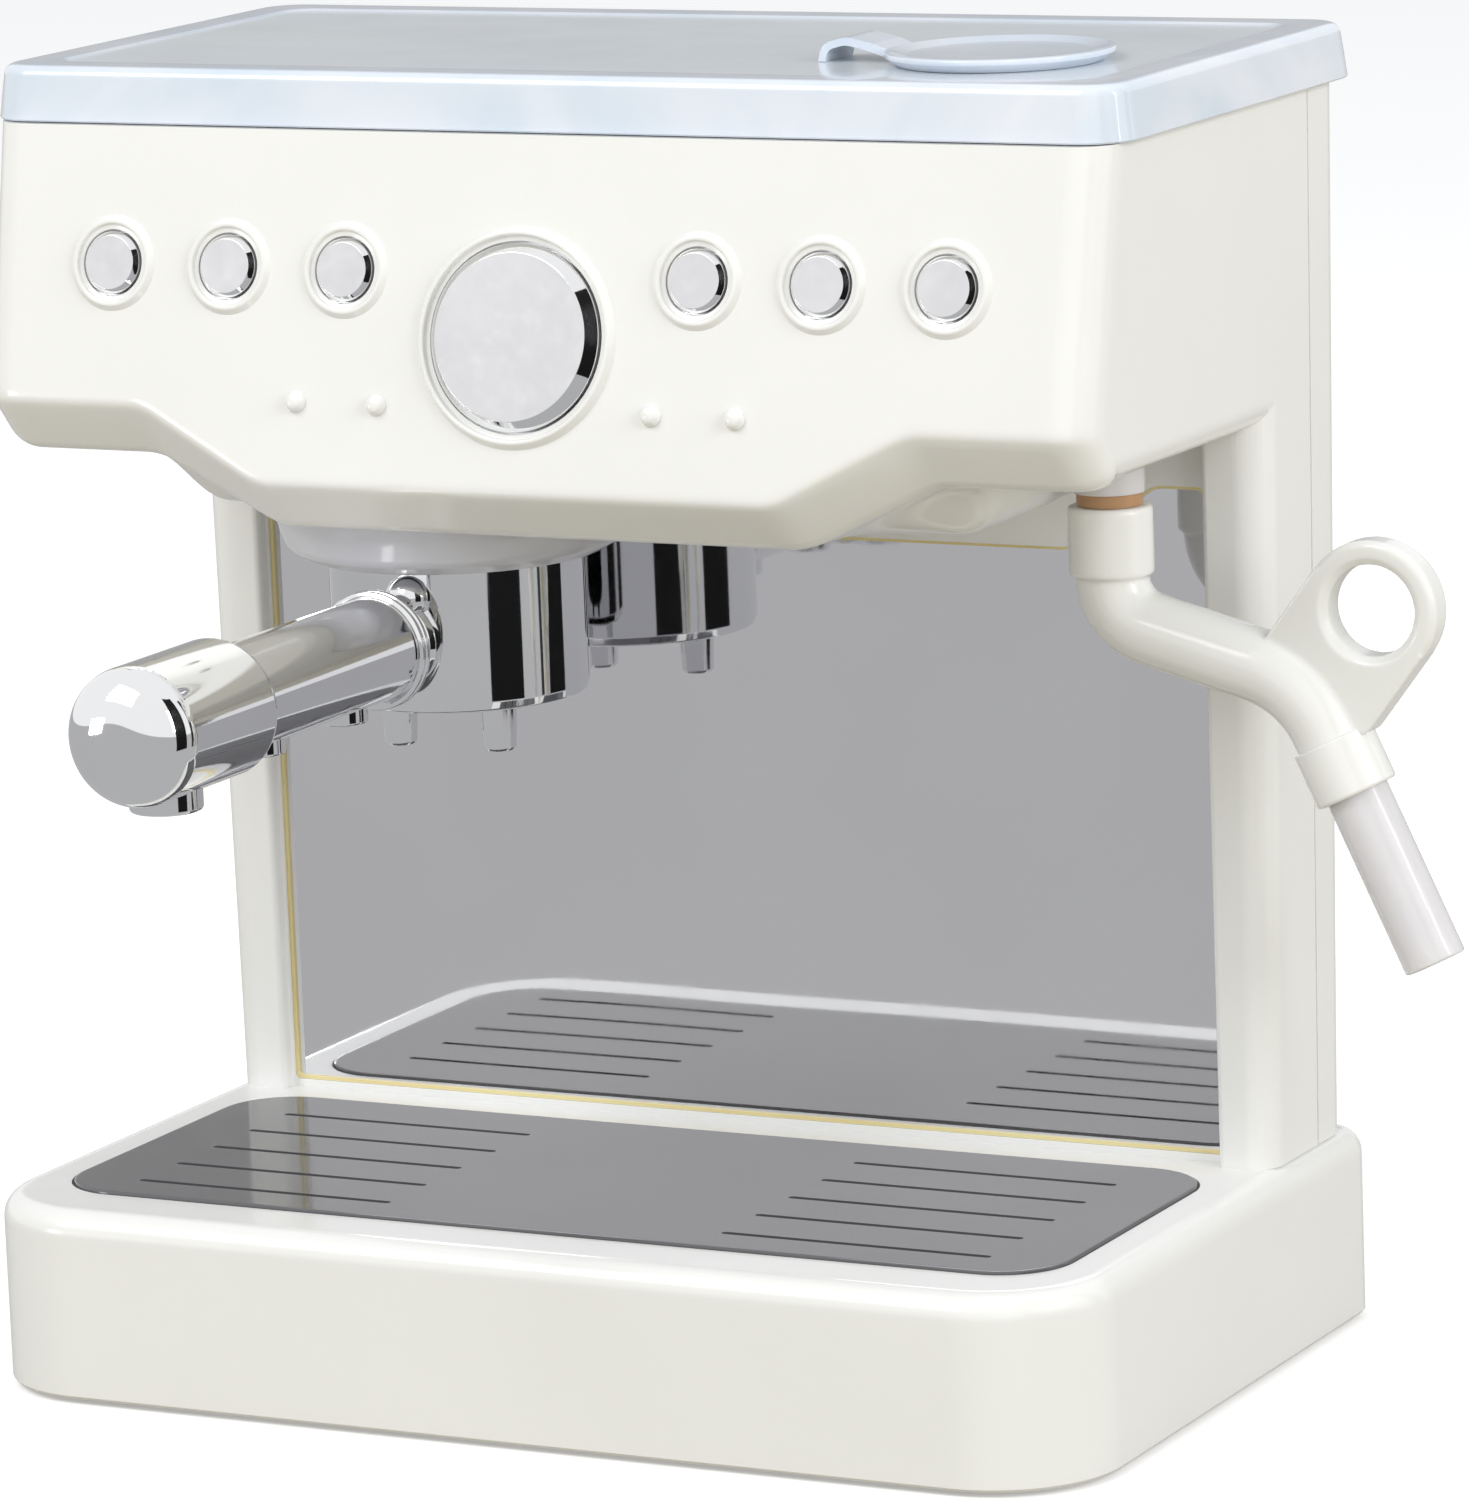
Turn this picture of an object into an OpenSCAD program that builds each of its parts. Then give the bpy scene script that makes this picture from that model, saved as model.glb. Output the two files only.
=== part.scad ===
// Toy espresso machine: base with drip plate, drafted housing with a stepped chin,
// removable lid with a filler cap, turning portafilter, swivelling steam wand,
// six small buttons, one brew button and the works inside.
// Origin: centre of the base outline on the floor. +X right, +Y to the back, +Z up.

/* [Base] */
// Width of the base
base_w = 240; // [225:1:260]
// Depth of the base, without the ledge behind the tower
base_d = 145; // [140:1:155]
// Ledge of the deck that passes behind the tower
base_ledge = 4.8; // [3.6:0.2:6]
// Height of the deck above the floor
base_h = 39; // [37:0.5:45]
// Radius of the two front corners of the base
base_front_r = 24.4; // [20:0.2:30]
// Radius of the two back corners of the base
base_back_r = 8; // [6:0.5:12]
// Rounding of the deck's outer edge
deck_edge_r = 5; // [3:0.5:6]
// Wall thickness of the base and its deck
base_wall = 2.4; // [2:0.2:3.2]
// How far the feet lift the shell off the floor
foot_lift = 1.2; // [0.8:0.1:2]
// Radius of a rubber foot
foot_r = 7; // [5:0.5:9]

/* [Drip plate] */
// Width of the drip plate
plate_w = 217.4; // [200:0.2:220]
// Deck between the drip plate and the columns
plate_back_gap = 5.8; // [3:0.2:10]
// Thickness of the drip plate
plate_t = 2.2; // [1.6:0.1:3]
// Corner radius of the drip plate
plate_r = 14; // [8:0.5:20]
// Deck between the base's front face and the plate
plate_margin = 16; // [14:0.2:18]
// Clearance all round the plate in its recess
plate_gap = 0.35; // [0.3:0.05:0.6]
// Depth of the drip basin under the plate
basin_deep = 11; // [8:0.5:12]
// Corner rounding of the drip basin
basin_r = 4; // [3:0.5:6]
// Slots on each side of the plate
slot_count = 5; // [3:1:5]
// Distance from slot to slot
slot_pitch = 14.4; // [12:0.2:15]
// Length of one slot
slot_len = 56.9; // [40:0.1:60]
// Width of one slot
slot_w = 1.6; // [1.2:0.1:2.4]
// Distance of the slots' inner ends from the middle
slot_inner = 36.4; // [30:0.2:40]

/* [Housing] */
// Height at which the lid sits
lid_seat_z = 249.2; // [245:0.2:255]
// How far each side of the housing stands in from the base, under the lid
house_set = 0; // [-2:0.5:2]
// How much narrower each side is at the deck
side_draft = 3; // [1:0.5:4]
// How far the back of the housing passes the base, under the lid
house_back_over = 1; // [0:0.5:2.5]
// How far the back face leans in at the deck
back_draft = 1.5; // [0.5:0.5:2.5]
// Depth of the tower from the base's back face to the front of its columns
tower_d = 40; // [37:0.5:42]
// Width of a column
column_w = 14.4; // [13:0.2:20]
// Rounding of the columns' front edges
column_r = 7; // [4:0.5:8]
// Rounding of the housing's upright corners
house_r = 8; // [6:0.5:9]
// Wall thickness of the housing
house_wall = 2.4; // [2:0.2:2.8]
// Depth of the rear cover, from its back to the seam
rear_d = 17.5; // [14:0.5:19]

/* [Head] */
// How far the head reaches out from the columns, under the lid
head_reach = 71.5; // [68:0.5:74]
// Forward lean of the front face, mm per mm of height
head_lean = 0.2; // [0.1:0.01:0.24]
// Underside of the head beside the chin
head_low_z = 186; // [183:0.5:189]
// Height of the crease beside the chin
crease_side_z = 196; // [193:0.5:199]
// Underside of the chin
chin_low_z = 173; // [170:0.5:176]
// Height of the crease on the chin
crease_chin_z = 181; // [179:0.5:184]
// How far the band under the crease turns back
band_back = 3.4; // [2:0.2:5]
// Half width of the chin's flat front
chin_half_w = 54; // [50:1:58]
// Half width where the chin meets the side flats
chin_top_half_w = 84; // [80:1:88]
// How much wider the chin grows behind its front
chin_bulge = 28; // [20:1:30]

/* [Mirror] */
// How far the wall between the columns is set back from them
splash_set = 3.8; // [3:0.1:5]
// Thickness of that wall
splash_t = 4.7; // [4:0.1:6]
// Thickness of the mirror sheet
mirror_t = 1.2; // [0.8:0.1:1.6]
// Depth of the mirror's face behind the wall's front
mirror_set = 1.2; // [0.8:0.1:1.6]
// Wall left between the mirror and the underside
mirror_border = 12.6; // [8:0.2:14]
// Wall left under the mirror
mirror_foot = 1.7; // [1:0.1:4]

/* [Lid] */
// How far the lid's skirt oversails each side of the housing
lid_side_over = 2.2; // [2:0.2:5]
// How far the lid's front stands behind the head's front face
lid_front_set = 1.5; // [-2:0.5:2]
// How far the lid oversails the back of the housing
lid_back_over = 5.2; // [3:0.2:8]
// Height of the lid
lid_h = 10.8; // [9:0.2:14]
// Wall thickness of the lid
lid_t = 2.2; // [1.8:0.1:2.6]
// Corner radius of the lid
lid_r = 9.4; // [8:0.2:12]
// How much the lid's skirt flares on each side
lid_flare = 1.1; // [0.5:0.1:2]
// Gap between the lid's skirt and the housing's top
lid_gap = 0.2; // [0.1:0.1:0.6]

/* [Filler cap] */
// Distance from the filler cap's edge to the step of the lid's panel
cap_side_gap = 6; // [3:0.5:12]
// Distance from the lid's front to the filler cap's centre
cap_front_gap = 40; // [36:0.5:44]
// Radius of the filler cap
cap_r = 25.2; // [22:0.2:27]
// Radius of the filler opening
fill_r = 14; // [11:0.5:15]

/* [Buttons] */
// Height of the row of small buttons
button_z = 223.1; // [221:0.1:226]
// Distance of the innermost small button from the middle
button_first_x = 37.9; // [36:0.1:40]
// Distance from small button to small button
button_pitch = 25.9; // [22:0.1:27]
// Radius of a small button
button_r = 6.1; // [5:0.1:6.4]
// Height of the brew button's centre
brew_z = 211.5; // [209:0.5:213]
// Radius of the brew button
brew_r = 18; // [15:0.5:19]
// How far the buttons stand out of the panel
button_proud = 2.2; // [2:0.1:3]
// Travel of a small button
button_travel = 1.6; // [1:0.1:2]
// Travel of the brew button
brew_travel = 1.8; // [1:0.1:2]

/* [Brew group] */
// Centre of the brew group from the middle
group_x = -41.2; // [-46:0.2:-30]
// Distance from the wall between the columns to the brew group's centre
group_reach = 35.8; // [33:0.1:38]
// Outer radius of the group ring
group_r = 35.1; // [33:0.1:38]
// How far the group ring hangs below the chin
group_drop = 12; // [10:0.5:14]
// Outer radius of the filter cup
cup_r = 25.5; // [23:0.1:26]
// Underside of the filter cup
cup_low_z = 132.5; // [128:0.5:138]
// Wall thickness of the filter cup
cup_wall = 2; // [1.6:0.1:2.6]
// Half distance between the two spouts
spout_half = 11.2; // [9:0.1:13]
// Length of a spout
spout_len = 10; // [8:0.5:14]

/* [Handle] */
// Height of the handle's axis
handle_z = 147; // [145:0.5:149]
// Distance from the cup's centre to the handle's flange
flange_reach = 36; // [34:0.5:38]
// Radius of the flange
flange_r = 11.8; // [11:0.1:13]
// Radius of the grip
grip_r = 10.7; // [9:0.1:11.5]
// Length of the grip
grip_len = 59; // [50:1:66]
// Radius of the end cap
end_cap_r = 13.4; // [12:0.1:14]
// Length of the end cap
end_cap_len = 38; // [32:1:44]

/* [Steam wand] */
// Distance from the bay's side to the wand's pivot
wand_side_gap = 9.6; // [9:0.1:13]
// Distance from the wall between the columns to the wand's pivot
wand_reach = 24.8; // [23:0.1:30]
// Radius of the wand's collar
collar_r = 8.3; // [7.8:0.1:9]
// Top of the collar
collar_top_z = 174; // [172:0.5:176]
// Length of the collar
collar_len = 13.5; // [12:0.5:16]
// Radius of the wand's arm
arm_r = 7.2; // [6.6:0.1:7.6]
// Length of the sloping stretch of the arm
arm_len = 22.8; // [20:0.2:30]
// Downward slope of the arm in degrees
arm_slope = 15; // [10:1:20]
// Direction of the outlet tube below level in degrees
tube_slope = 64.5; // [60:0.5:75]
// Radius of the outlet tube
tube_r = 6.1; // [5:0.1:6.5]
// Length of the outlet tube that shows
tube_len = 35.5; // [28:0.5:40]
// Radius of the sleeve
sleeve_r = 8.1; // [7.6:0.1:9]
// Centre of the finger ring from the wand's pivot
ring_out = 54.3; // [52:0.1:56]
// Height of the finger ring's centre
ring_z = 156.2; // [154:0.1:158]
// Radius of the finger ring's outside
ring_r = 13.5; // [12.5:0.1:15]
// Radius of the finger hole
ring_hole_r = 8.8; // [7.5:0.1:9.4]
// Thickness of the finger ring
ring_t = 7; // [5:0.2:8]

/* [Batteries] */
// Radius of a cell
cell_r = 7.1; // [6.9:0.1:7.2]
// Length of a cell without its button
cell_len = 49; // [48:0.5:50]
// Number of cells side by side
cell_count = 3; // [2:1:3]

/* [Hidden] */
$fn = 64;

ivory = "#F1EFE3";
pearl_blue = "#C9D4E2";
chrome_grey = "#C8CACE";
steel = "#9BA0A6";
plate_grey = "#6F6F74";
rubber_black = "#2A2A2C";

// ---- derived places, shared by the pieces that meet ----
house_half_w = base_w / 2 - house_set;
bay_half_w = house_half_w - column_w;
house_back_y = base_d / 2 + house_back_over;
column_front_y = base_d / 2 - tower_d;
seam_y = house_back_y - rear_d;
splash_y = column_front_y + splash_set;
head_front_y = column_front_y - head_reach;
lid_w = 2 * (house_half_w + lid_side_over);
lid_front_y = head_front_y + lid_front_set;
lid_back_y = house_back_y + lid_back_over;
panel_border = 11;
cap_x = lid_w / 2 - panel_border - cap_side_gap - cap_r;
cap_y = lid_front_y + cap_front_gap;
group_y = splash_y - group_reach;
wand_x = bay_half_w - wand_side_gap;
wand_y = splash_y - wand_reach;
plate_d = column_front_y - plate_back_gap + base_d / 2 - plate_margin;

deck_z = base_h;
base_back_y = base_d / 2 + base_ledge;
plate_y = -base_d / 2 + plate_margin + plate_d / 2;
plate_low_z = deck_z + 0.6 - plate_t;
basin_ledge = 6;
basin_floor_z = plate_low_z - basin_deep;
cover_t = 2;
cover_top_z = foot_lift + cover_t;
cover_gap = 0.3;
foot_socket = 1;
screw_r = 1.4;
pilot_gap = 0.1;

tower_h = lid_seat_z - deck_z;
lip_gap = 0.3;
lip_t = 2.2;
lip_r = 5.4;
lid_bottom_z = lid_seat_z + lid_gap;
lid_top_z = lid_bottom_z + lid_h;
lid_under_z = lid_top_z - lid_t;
lid_mid_y = (lid_front_y + lid_back_y) / 2;
lid_d = lid_back_y - lid_front_y;
lid_wall_inset = lid_flare + lid_t;
lip_w = lid_w - 2 * lid_wall_inset - 2 * lip_gap;
lip_front = lid_front_y + lid_wall_inset + lip_gap;
lip_back = house_back_y - 2.4;
panel_deep = 0.5;

lean_deg = atan(head_lean);
lean_cos = cos(lean_deg);
function front_y(z) = head_front_y - head_lean * (lid_seat_z - z);

chin_slope = 6.4;
mirror_low_z = deck_z + mirror_foot;
mirror_y = splash_y + mirror_set;
mirror_half_w = bay_half_w - 0.5;
mirror_gap = 0.15;

bump_z = 198;
bump_r = 2.1;
bump_xs = [29.5, 47.5];
brew_bore_r = brew_r + 0.4;
button_bore_r = button_r + 0.4;
button_flange_t = 1.2;
button_flange_r = button_r + 1.8;
board_room = 14.2;
board_back = board_room + max(button_travel, brew_travel);
board_t = 1.6;
panel_t = house_wall;

ring_low_z = chin_low_z - group_drop;
group_edge = 7;
lug_low_z = ring_low_z + 5;
lug_h = 2.6;
lug_reach = 3;
ring_bore_r = cup_r + 0.4;
cup_top_z = lug_low_z + lug_h;
handle_x = group_x;

stem_r = 6.9;
spigot_r = 5;
spigot_gap = 0.06;
flange_stem_r = 6.2;
elbow_r = 10.8;
bend_r = 22;
sleeve_len = 11.2;
tube_in = 8;

board_post_r = 3;
board_post_xs = [for (side = [-1, 1]) for (i = [0.5, 1.5]) side * (button_first_x + i * button_pitch)];
rear_screw_side = 28;
rear_screw_low = 23;
rear_screw_high = 91.2;
rear_screw_places = [
  for (side = [-1, 1]) for (z = [deck_z + rear_screw_low, lid_seat_z - rear_screw_high])
    [side * (house_half_w - rear_screw_side), z]
];
hose_r = 3;
hose_bend = 7;
hose_over_z = 186;
tank_port_z = 184;
tank_x = 18;
tank_low_w = 56;
tank_high_w = 82;
tank_d = 52;
tank_shelf_z = 200;
tank_front_y = group_y - 22.5;
tank_back_y = tank_front_y + tank_d;
tank_head_gap = 7.2;

button_xs = concat([for (i = [2:-1:0]) -button_first_x - i * button_pitch],
                   [for (i = [0:2]) button_first_x + i * button_pitch]);

// ---- shared shapes ----

// Outline with its own radii at the front (low Y) and the back, centred on X and Y.
module house_outline(w, d, front_r, back_r) {
  square_half = w / 2;
  for (side = [-1, 1]) {
    translate([side * (square_half - front_r), -d / 2 + front_r]) circle(r = front_r);
    translate([side * (square_half - back_r), d / 2 - back_r]) circle(r = back_r);
  }
  translate([-square_half + front_r, -d / 2]) square([w - 2 * front_r, d / 2]);
  translate([-square_half + back_r, 0]) square([w - 2 * back_r, d / 2]);
  translate([-square_half, -d / 2 + front_r]) square([w, d - front_r - back_r]);
}

// Upright slab of that outline between two heights, with its middle at mid_y.
module outline_slab(w, d, front_r, back_r, low_z, high_z, mid_y = 0) {
  translate([0, mid_y, low_z])
    linear_extrude(high_z - low_z) house_outline(w, d, front_r, back_r);
}

// Disc with a rounded upper edge, used as the corner of a softened block.
module soft_disc(r, h, edge) {
  rotate_extrude()
    union() {
      square([r, h - edge]);
      square([r - edge, h]);
      intersection() {
        translate([r - edge, h - edge]) circle(r = edge);
        square([r, h]);
      }
    }
}

// Pan-head screw with its head down, shank up, and a cross recess.
module screw_up(len, head_r = 2.8, shank_r = screw_r) {
  difference() {
    union() {
      cylinder(r = head_r, h = 1.6);
      translate([0, 0, 1.6]) cylinder(r = shank_r, h = len);
    }
    for (turn = [0, 90])
      rotate([0, 0, turn]) translate([-1.8, -0.35, -0.1]) cube([3.6, 0.7, 1]);
  }
}

// Hollow post for a screw, from its foot up.
module screw_post(r, h, pilot_deep) {
  difference() {
    cylinder(r = r, h = h);
    translate([0, 0, -1]) cylinder(r = screw_r + pilot_gap, h = pilot_deep + 1);
  }
}

// Places a child on the sloping front panel: its +Z points out of the panel.
module on_panel(x, z) {
  translate([x, front_y(z), z]) rotate([90 - lean_deg, 0, 0]) children();
}

// ---- base ----
cover_post_xs = [-base_w / 2 + 22, base_w / 2 - 22];
cover_post_ys = [-base_d / 2 + 9.5, base_d / 2 - 14];
column_screw_y = column_front_y + 12;
rear_screw_x = 84;
rear_screw_y = house_back_y - back_draft - house_wall - 3.6;
cell_pitch = 2 * cell_r + 0.8;
bay_len = cell_len + 8;
bay_w = cell_count * cell_pitch + 0.8;
bay_y = plate_y;
bay_wall = 1.6;
hatch_l = bay_len - 3;
hatch_w = bay_w - 3;
hatch_gap = 0.35;
hatch_t = 1.8;
cell_z = foot_lift + hatch_t + 0.8 + cell_r;
bay_top_z = cell_z + cell_r + 0.4;

module foot_places() {
  for (x = [-base_w / 2 + 34, base_w / 2 - 34])
    for (y = [-base_d / 2 + 20, base_d / 2 - 18])
      translate([x, y, 0]) children();
}

module base_shell() {
  inner_w = base_w - 2 * base_wall;
  inner_d = base_d + base_ledge - 2 * base_wall;
  color(ivory) difference() {
    union() {
      difference() {
        hull()
          for (side = [-1, 1]) {
            translate([side * (base_w / 2 - base_front_r), -base_d / 2 + base_front_r, foot_lift])
              soft_disc(base_front_r, base_h - foot_lift, deck_edge_r, $fn = 72);
            translate([side * (base_w / 2 - base_back_r), base_back_y - base_back_r, foot_lift])
              soft_disc(base_back_r, base_h - foot_lift, deck_edge_r, $fn = 32);
          }
        outline_slab(inner_w, inner_d, base_front_r - base_wall, base_back_r - base_wall,
                     0, deck_z - base_wall - 2.4, base_ledge / 2);
      }
      // walls and floor of the basin, hanging from the deck
      outline_slab(plate_w - 2 * basin_ledge + 2 * base_wall, plate_d - 2 * basin_ledge + 2 * base_wall,
                   basin_r + base_wall, basin_r + base_wall, basin_floor_z - base_wall,
                   deck_z - base_wall, plate_y);
      for (x = cover_post_xs)
        for (y = cover_post_ys)
          translate([x, y, cover_top_z]) screw_post(4, deck_z - base_wall - 2 - cover_top_z, 14);
    }
    // seat of the drip plate, and the basin
    outline_slab(plate_w + 2 * plate_gap, plate_d + 2 * plate_gap, plate_r, plate_r,
                 plate_low_z, deck_z + 1, plate_y);
    outline_slab(plate_w - 2 * basin_ledge, plate_d - 2 * basin_ledge, basin_r, basin_r,
                 basin_floor_z, deck_z, plate_y);
    // clearance holes of the screws that hold the housing down
    for (side = [-1, 1]) {
      translate([side * (bay_half_w + 6), column_screw_y, deck_z - 8]) cylinder(r = screw_r + 0.25, h = 10);
      translate([side * rear_screw_x, rear_screw_y, deck_z - 8]) cylinder(r = screw_r + 0.25, h = 10);
    }
  }
}

module bottom_cover() {
  clear = base_wall + cover_gap;
  color(ivory) difference() {
    union() {
      outline_slab(base_w - 2 * clear, base_d + base_ledge - 2 * clear, base_front_r - clear,
                   base_back_r - clear, foot_lift, cover_top_z, base_ledge / 2);
      // walls and roof of the battery bay
      translate([-bay_len / 2 - bay_wall, bay_y - bay_w / 2 - bay_wall, foot_lift])
        cube([bay_len + 2 * bay_wall, bay_w + 2 * bay_wall, bay_top_z + bay_wall - foot_lift]);
      translate([bay_len / 2 + 5.5, bay_y, foot_lift]) cylinder(r = 4, h = 12);
    }
    translate([-bay_len / 2, bay_y - bay_w / 2, foot_lift + hatch_t])
      cube([bay_len, bay_w, bay_top_z - foot_lift - hatch_t]);
    translate([-hatch_l / 2, bay_y - hatch_w / 2, 0])
      cube([hatch_l, hatch_w, foot_lift + hatch_t + 1]);
    translate([bay_len / 2 - 2, bay_y - 6, 0]) cube([12, 12, foot_lift + hatch_t]);
    translate([bay_len / 2 + 5.5, bay_y, 0]) cylinder(r = screw_r + pilot_gap, h = 11);
    foot_places() cylinder(r = foot_r + 0.1, h = foot_lift + foot_socket);
    for (x = cover_post_xs)
      for (y = cover_post_ys)
        translate([x, y, 0]) {
          cylinder(r = screw_r + 0.25, h = 8);
          cylinder(r = 3.2, h = foot_lift + 0.6);
        }
  }
}

module rubber_feet() {
  color(rubber_black)
    foot_places()
      rotate_extrude() polygon([[0, 0], [foot_r - 0.8, 0], [foot_r, 0.8],
                                [foot_r, foot_lift + foot_socket], [0, foot_lift + foot_socket]]);
}

module base_screws() {
  color(steel) {
    for (x = cover_post_xs)
      for (y = cover_post_ys)
        translate([x, y, foot_lift + 0.6 - 1.6]) screw_up(11);
    for (side = [-1, 1]) {
      translate([side * (bay_half_w + 6), column_screw_y, deck_z - base_wall - 2.4 - 1.6]) screw_up(14);
      translate([side * rear_screw_x, rear_screw_y, deck_z - base_wall - 2.4 - 1.6]) screw_up(14);
    }
  }
}

module battery_cover() {
  l = hatch_l - 2 * hatch_gap;
  w = hatch_w - 2 * hatch_gap;
  color(ivory) difference() {
    union() {
      translate([-l / 2, bay_y - w / 2, foot_lift]) cube([l, w, hatch_t]);
      translate([0, bay_y - 6 + hatch_gap, foot_lift])
        cube([bay_len / 2 + 10 - hatch_gap, 12 - 2 * hatch_gap, hatch_t - 0.1]);
      for (y = [-w / 4, w / 4])
        translate([-l / 2 + 4, bay_y + y - 1, foot_lift + hatch_t]) cube([l - 8, 2, 0.6]);
    }
    translate([bay_len / 2 + 5.5, bay_y, 0]) cylinder(r = screw_r + 0.25, h = 8);
    translate([bay_len / 2 + 5.5, bay_y, 0]) cylinder(r = 3, h = foot_lift + 0.8);
  }
}

module battery_cover_screw() {
  color(steel)
    translate([bay_len / 2 + 5.5, bay_y, foot_lift + 0.8 - 1.6]) screw_up(7, 2.6, screw_r);
}

module battery_cells() {
  color("#4C7A4F")
    for (i = [0:cell_count - 1])
      translate([(i % 2 == 0 ? -1 : 1) * cell_len / 2, bay_y + (i - (cell_count - 1) / 2) * cell_pitch, cell_z])
        rotate([0, (i % 2 == 0 ? 90 : -90), 0])
          rotate_extrude()
            polygon([[0, 0], [cell_r - 0.6, 0], [cell_r, 0.6], [cell_r, cell_len - 0.6],
                     [cell_r - 0.6, cell_len], [2.7, cell_len], [2.7, cell_len + 1.2], [0, cell_len + 1.2]]);
}

module battery_contacts() {
  color(steel)
    for (i = [0:cell_count - 1])
      for (side = [-1, 1])
        translate([side * bay_len / 2, bay_y + (i - (cell_count - 1) / 2) * cell_pitch, cell_z])
          rotate([0, -side * 90, 0]) {
            translate([-5, -5.5, 0]) cube([10, 11, 0.5]);
            // flat plate at the button, cone spring at the case end
            if ((i % 2 == 0) == (side < 0))
              rotate_extrude() polygon([[2.6, 0.4], [5, 0.4], [3.4, 3.9], [2.4, 3.9]]);
            else
              cylinder(r = 3, h = bay_len / 2 - cell_len / 2 - 1.3);
          }
}

module drip_plate() {
  color(plate_grey) difference() {
    outline_slab(plate_w, plate_d, plate_r, plate_r, plate_low_z, plate_low_z + plate_t, plate_y);
    for (side = [-1, 1])
      for (i = [0:slot_count - 1])
        translate([side * (slot_inner + slot_len / 2),
                   plate_y + (i - (slot_count - 1) / 2) * slot_pitch - 2.6, plate_low_z - 1]) {
          translate([-slot_len / 2 + slot_w / 2, -slot_w / 2, 0])
            cube([slot_len - slot_w, slot_w, plate_t + 2]);
          for (tip = [-1, 1])
            translate([tip * (slot_len - slot_w) / 2, 0, 0]) cylinder(r = slot_w / 2, h = plate_t + 2, $fn = 24);
        }
  }
}

// ---- housing ----

// Drafted block of the whole tower, from the deck to the lid's seat.
module tower_block(inset = 0) {
  low_half = house_half_w - side_draft - inset;
  high_half = house_half_w - inset;
  corner_r = house_r - inset;
  edge_r = column_r - inset;
  hull()
    for (side = [-1, 1]) {
      translate([side * (low_half - edge_r), column_front_y + inset + edge_r, deck_z])
        cylinder(r = edge_r, h = 0.1, $fn = 32);
      translate([side * (high_half - edge_r), column_front_y + inset + edge_r, lid_seat_z - 0.1])
        cylinder(r = edge_r, h = 0.1, $fn = 32);
      translate([side * (low_half - corner_r), house_back_y - back_draft - inset - corner_r, deck_z])
        cylinder(r = corner_r, h = 0.1, $fn = 32);
      translate([side * (high_half - corner_r), house_back_y - inset - corner_r, lid_seat_z - 0.1])
        cylinder(r = corner_r, h = 0.1, $fn = 32);
    }
}

// Head above the side flats: leaning front, rounded corners, band under the crease.
module head_block(inset = 0) {
  half = house_half_w - inset;
  corner_r = house_r - inset;
  draft_at = side_draft * (lid_seat_z - head_low_z) / tower_h;
  low_r = max(corner_r - 2, 1);
  hull()
    for (side = [-1, 1]) {
      for (z = [lid_seat_z - 0.1, crease_side_z])
        translate([side * (half - corner_r - side_draft * (lid_seat_z - z) / tower_h),
                   front_y(z) + inset + corner_r, z])
          cylinder(r = corner_r, h = 0.1, $fn = 32);
      translate([side * (half - low_r - draft_at - 1.5), front_y(crease_side_z) + band_back + inset + low_r,
                 head_low_z + inset])
        cylinder(r = low_r, h = 0.1, $fn = 32);
      translate([side * (half - 0.2), splash_y + splash_t, lid_seat_z - 0.1]) cube([0.1, 0.1, 0.1]);
      translate([side * (half - draft_at - 0.2), splash_y + splash_t, head_low_z + inset]) cube([0.1, 0.1, 0.1]);
    }
}

// Half width of the chin behind its front: it swells to a round and narrows again.
function chin_half(y) = let (reach = (y - front_y(chin_low_z)) / (splash_y - front_y(chin_low_z)))
  chin_half_w + chin_bulge * sqrt(max(0, 1 - pow(1 - min(1, reach * 1.9), 2)));

// Chin: the deep middle of the head, flat in front and swelling behind.
module chin_block(inset = 0) {
  top_z = crease_side_z;
  hull() {
    // crease of the front face
    translate([-chin_half_w, front_y(crease_chin_z) + inset, crease_chin_z]) cube([2 * chin_half_w, 0.1, 0.1]);
    translate([-chin_top_half_w, front_y(top_z) + inset, top_z]) cube([2 * chin_top_half_w, 0.1, 0.1]);
    for (y = [for (i = [0:4]) front_y(crease_chin_z) + band_back + inset + i * 8.5]) {
      translate([-chin_half(y) + inset, y, chin_low_z + inset]) cube([2 * chin_half(y) - 2 * inset, 0.1, 0.1]);
      translate([-chin_half(y) - chin_slope + inset, y, head_low_z + inset])
        cube([2 * chin_half(y) + 2 * chin_slope - 2 * inset, 0.1, 0.1]);
    }
    translate([-chin_half(splash_y) + 6 + inset, splash_y, chin_low_z + inset])
      cube([2 * chin_half(splash_y) - 12 - 2 * inset, 1, 0.1]);
    translate([-chin_half(splash_y) + 6 - chin_slope + inset, splash_y, head_low_z + inset])
      cube([2 * chin_half(splash_y) - 12 + 2 * chin_slope - 2 * inset, 1, 0.1]);
  }
}

// Outline of the bay's top edge, lowered by drop, as points from left to right.
function bay_top(drop, half_w) = [
  [-half_w, head_low_z - drop], [-chin_top_half_w - 10, head_low_z - drop],
  [-chin_half_w - 22, chin_low_z - drop], [chin_half_w + 22, chin_low_z - drop],
  [chin_top_half_w + 10, head_low_z - drop], [half_w, head_low_z - drop]
];

// Upright sheet with the stepped outline of the bay.
module bay_sheet(half_w, low_z, drop, y, t) {
  translate([0, y + t, 0]) rotate([90, 0, 0])
    linear_extrude(t)
      polygon(concat([[half_w, low_z], [-half_w, low_z]], bay_top(drop, half_w)));
}

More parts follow.
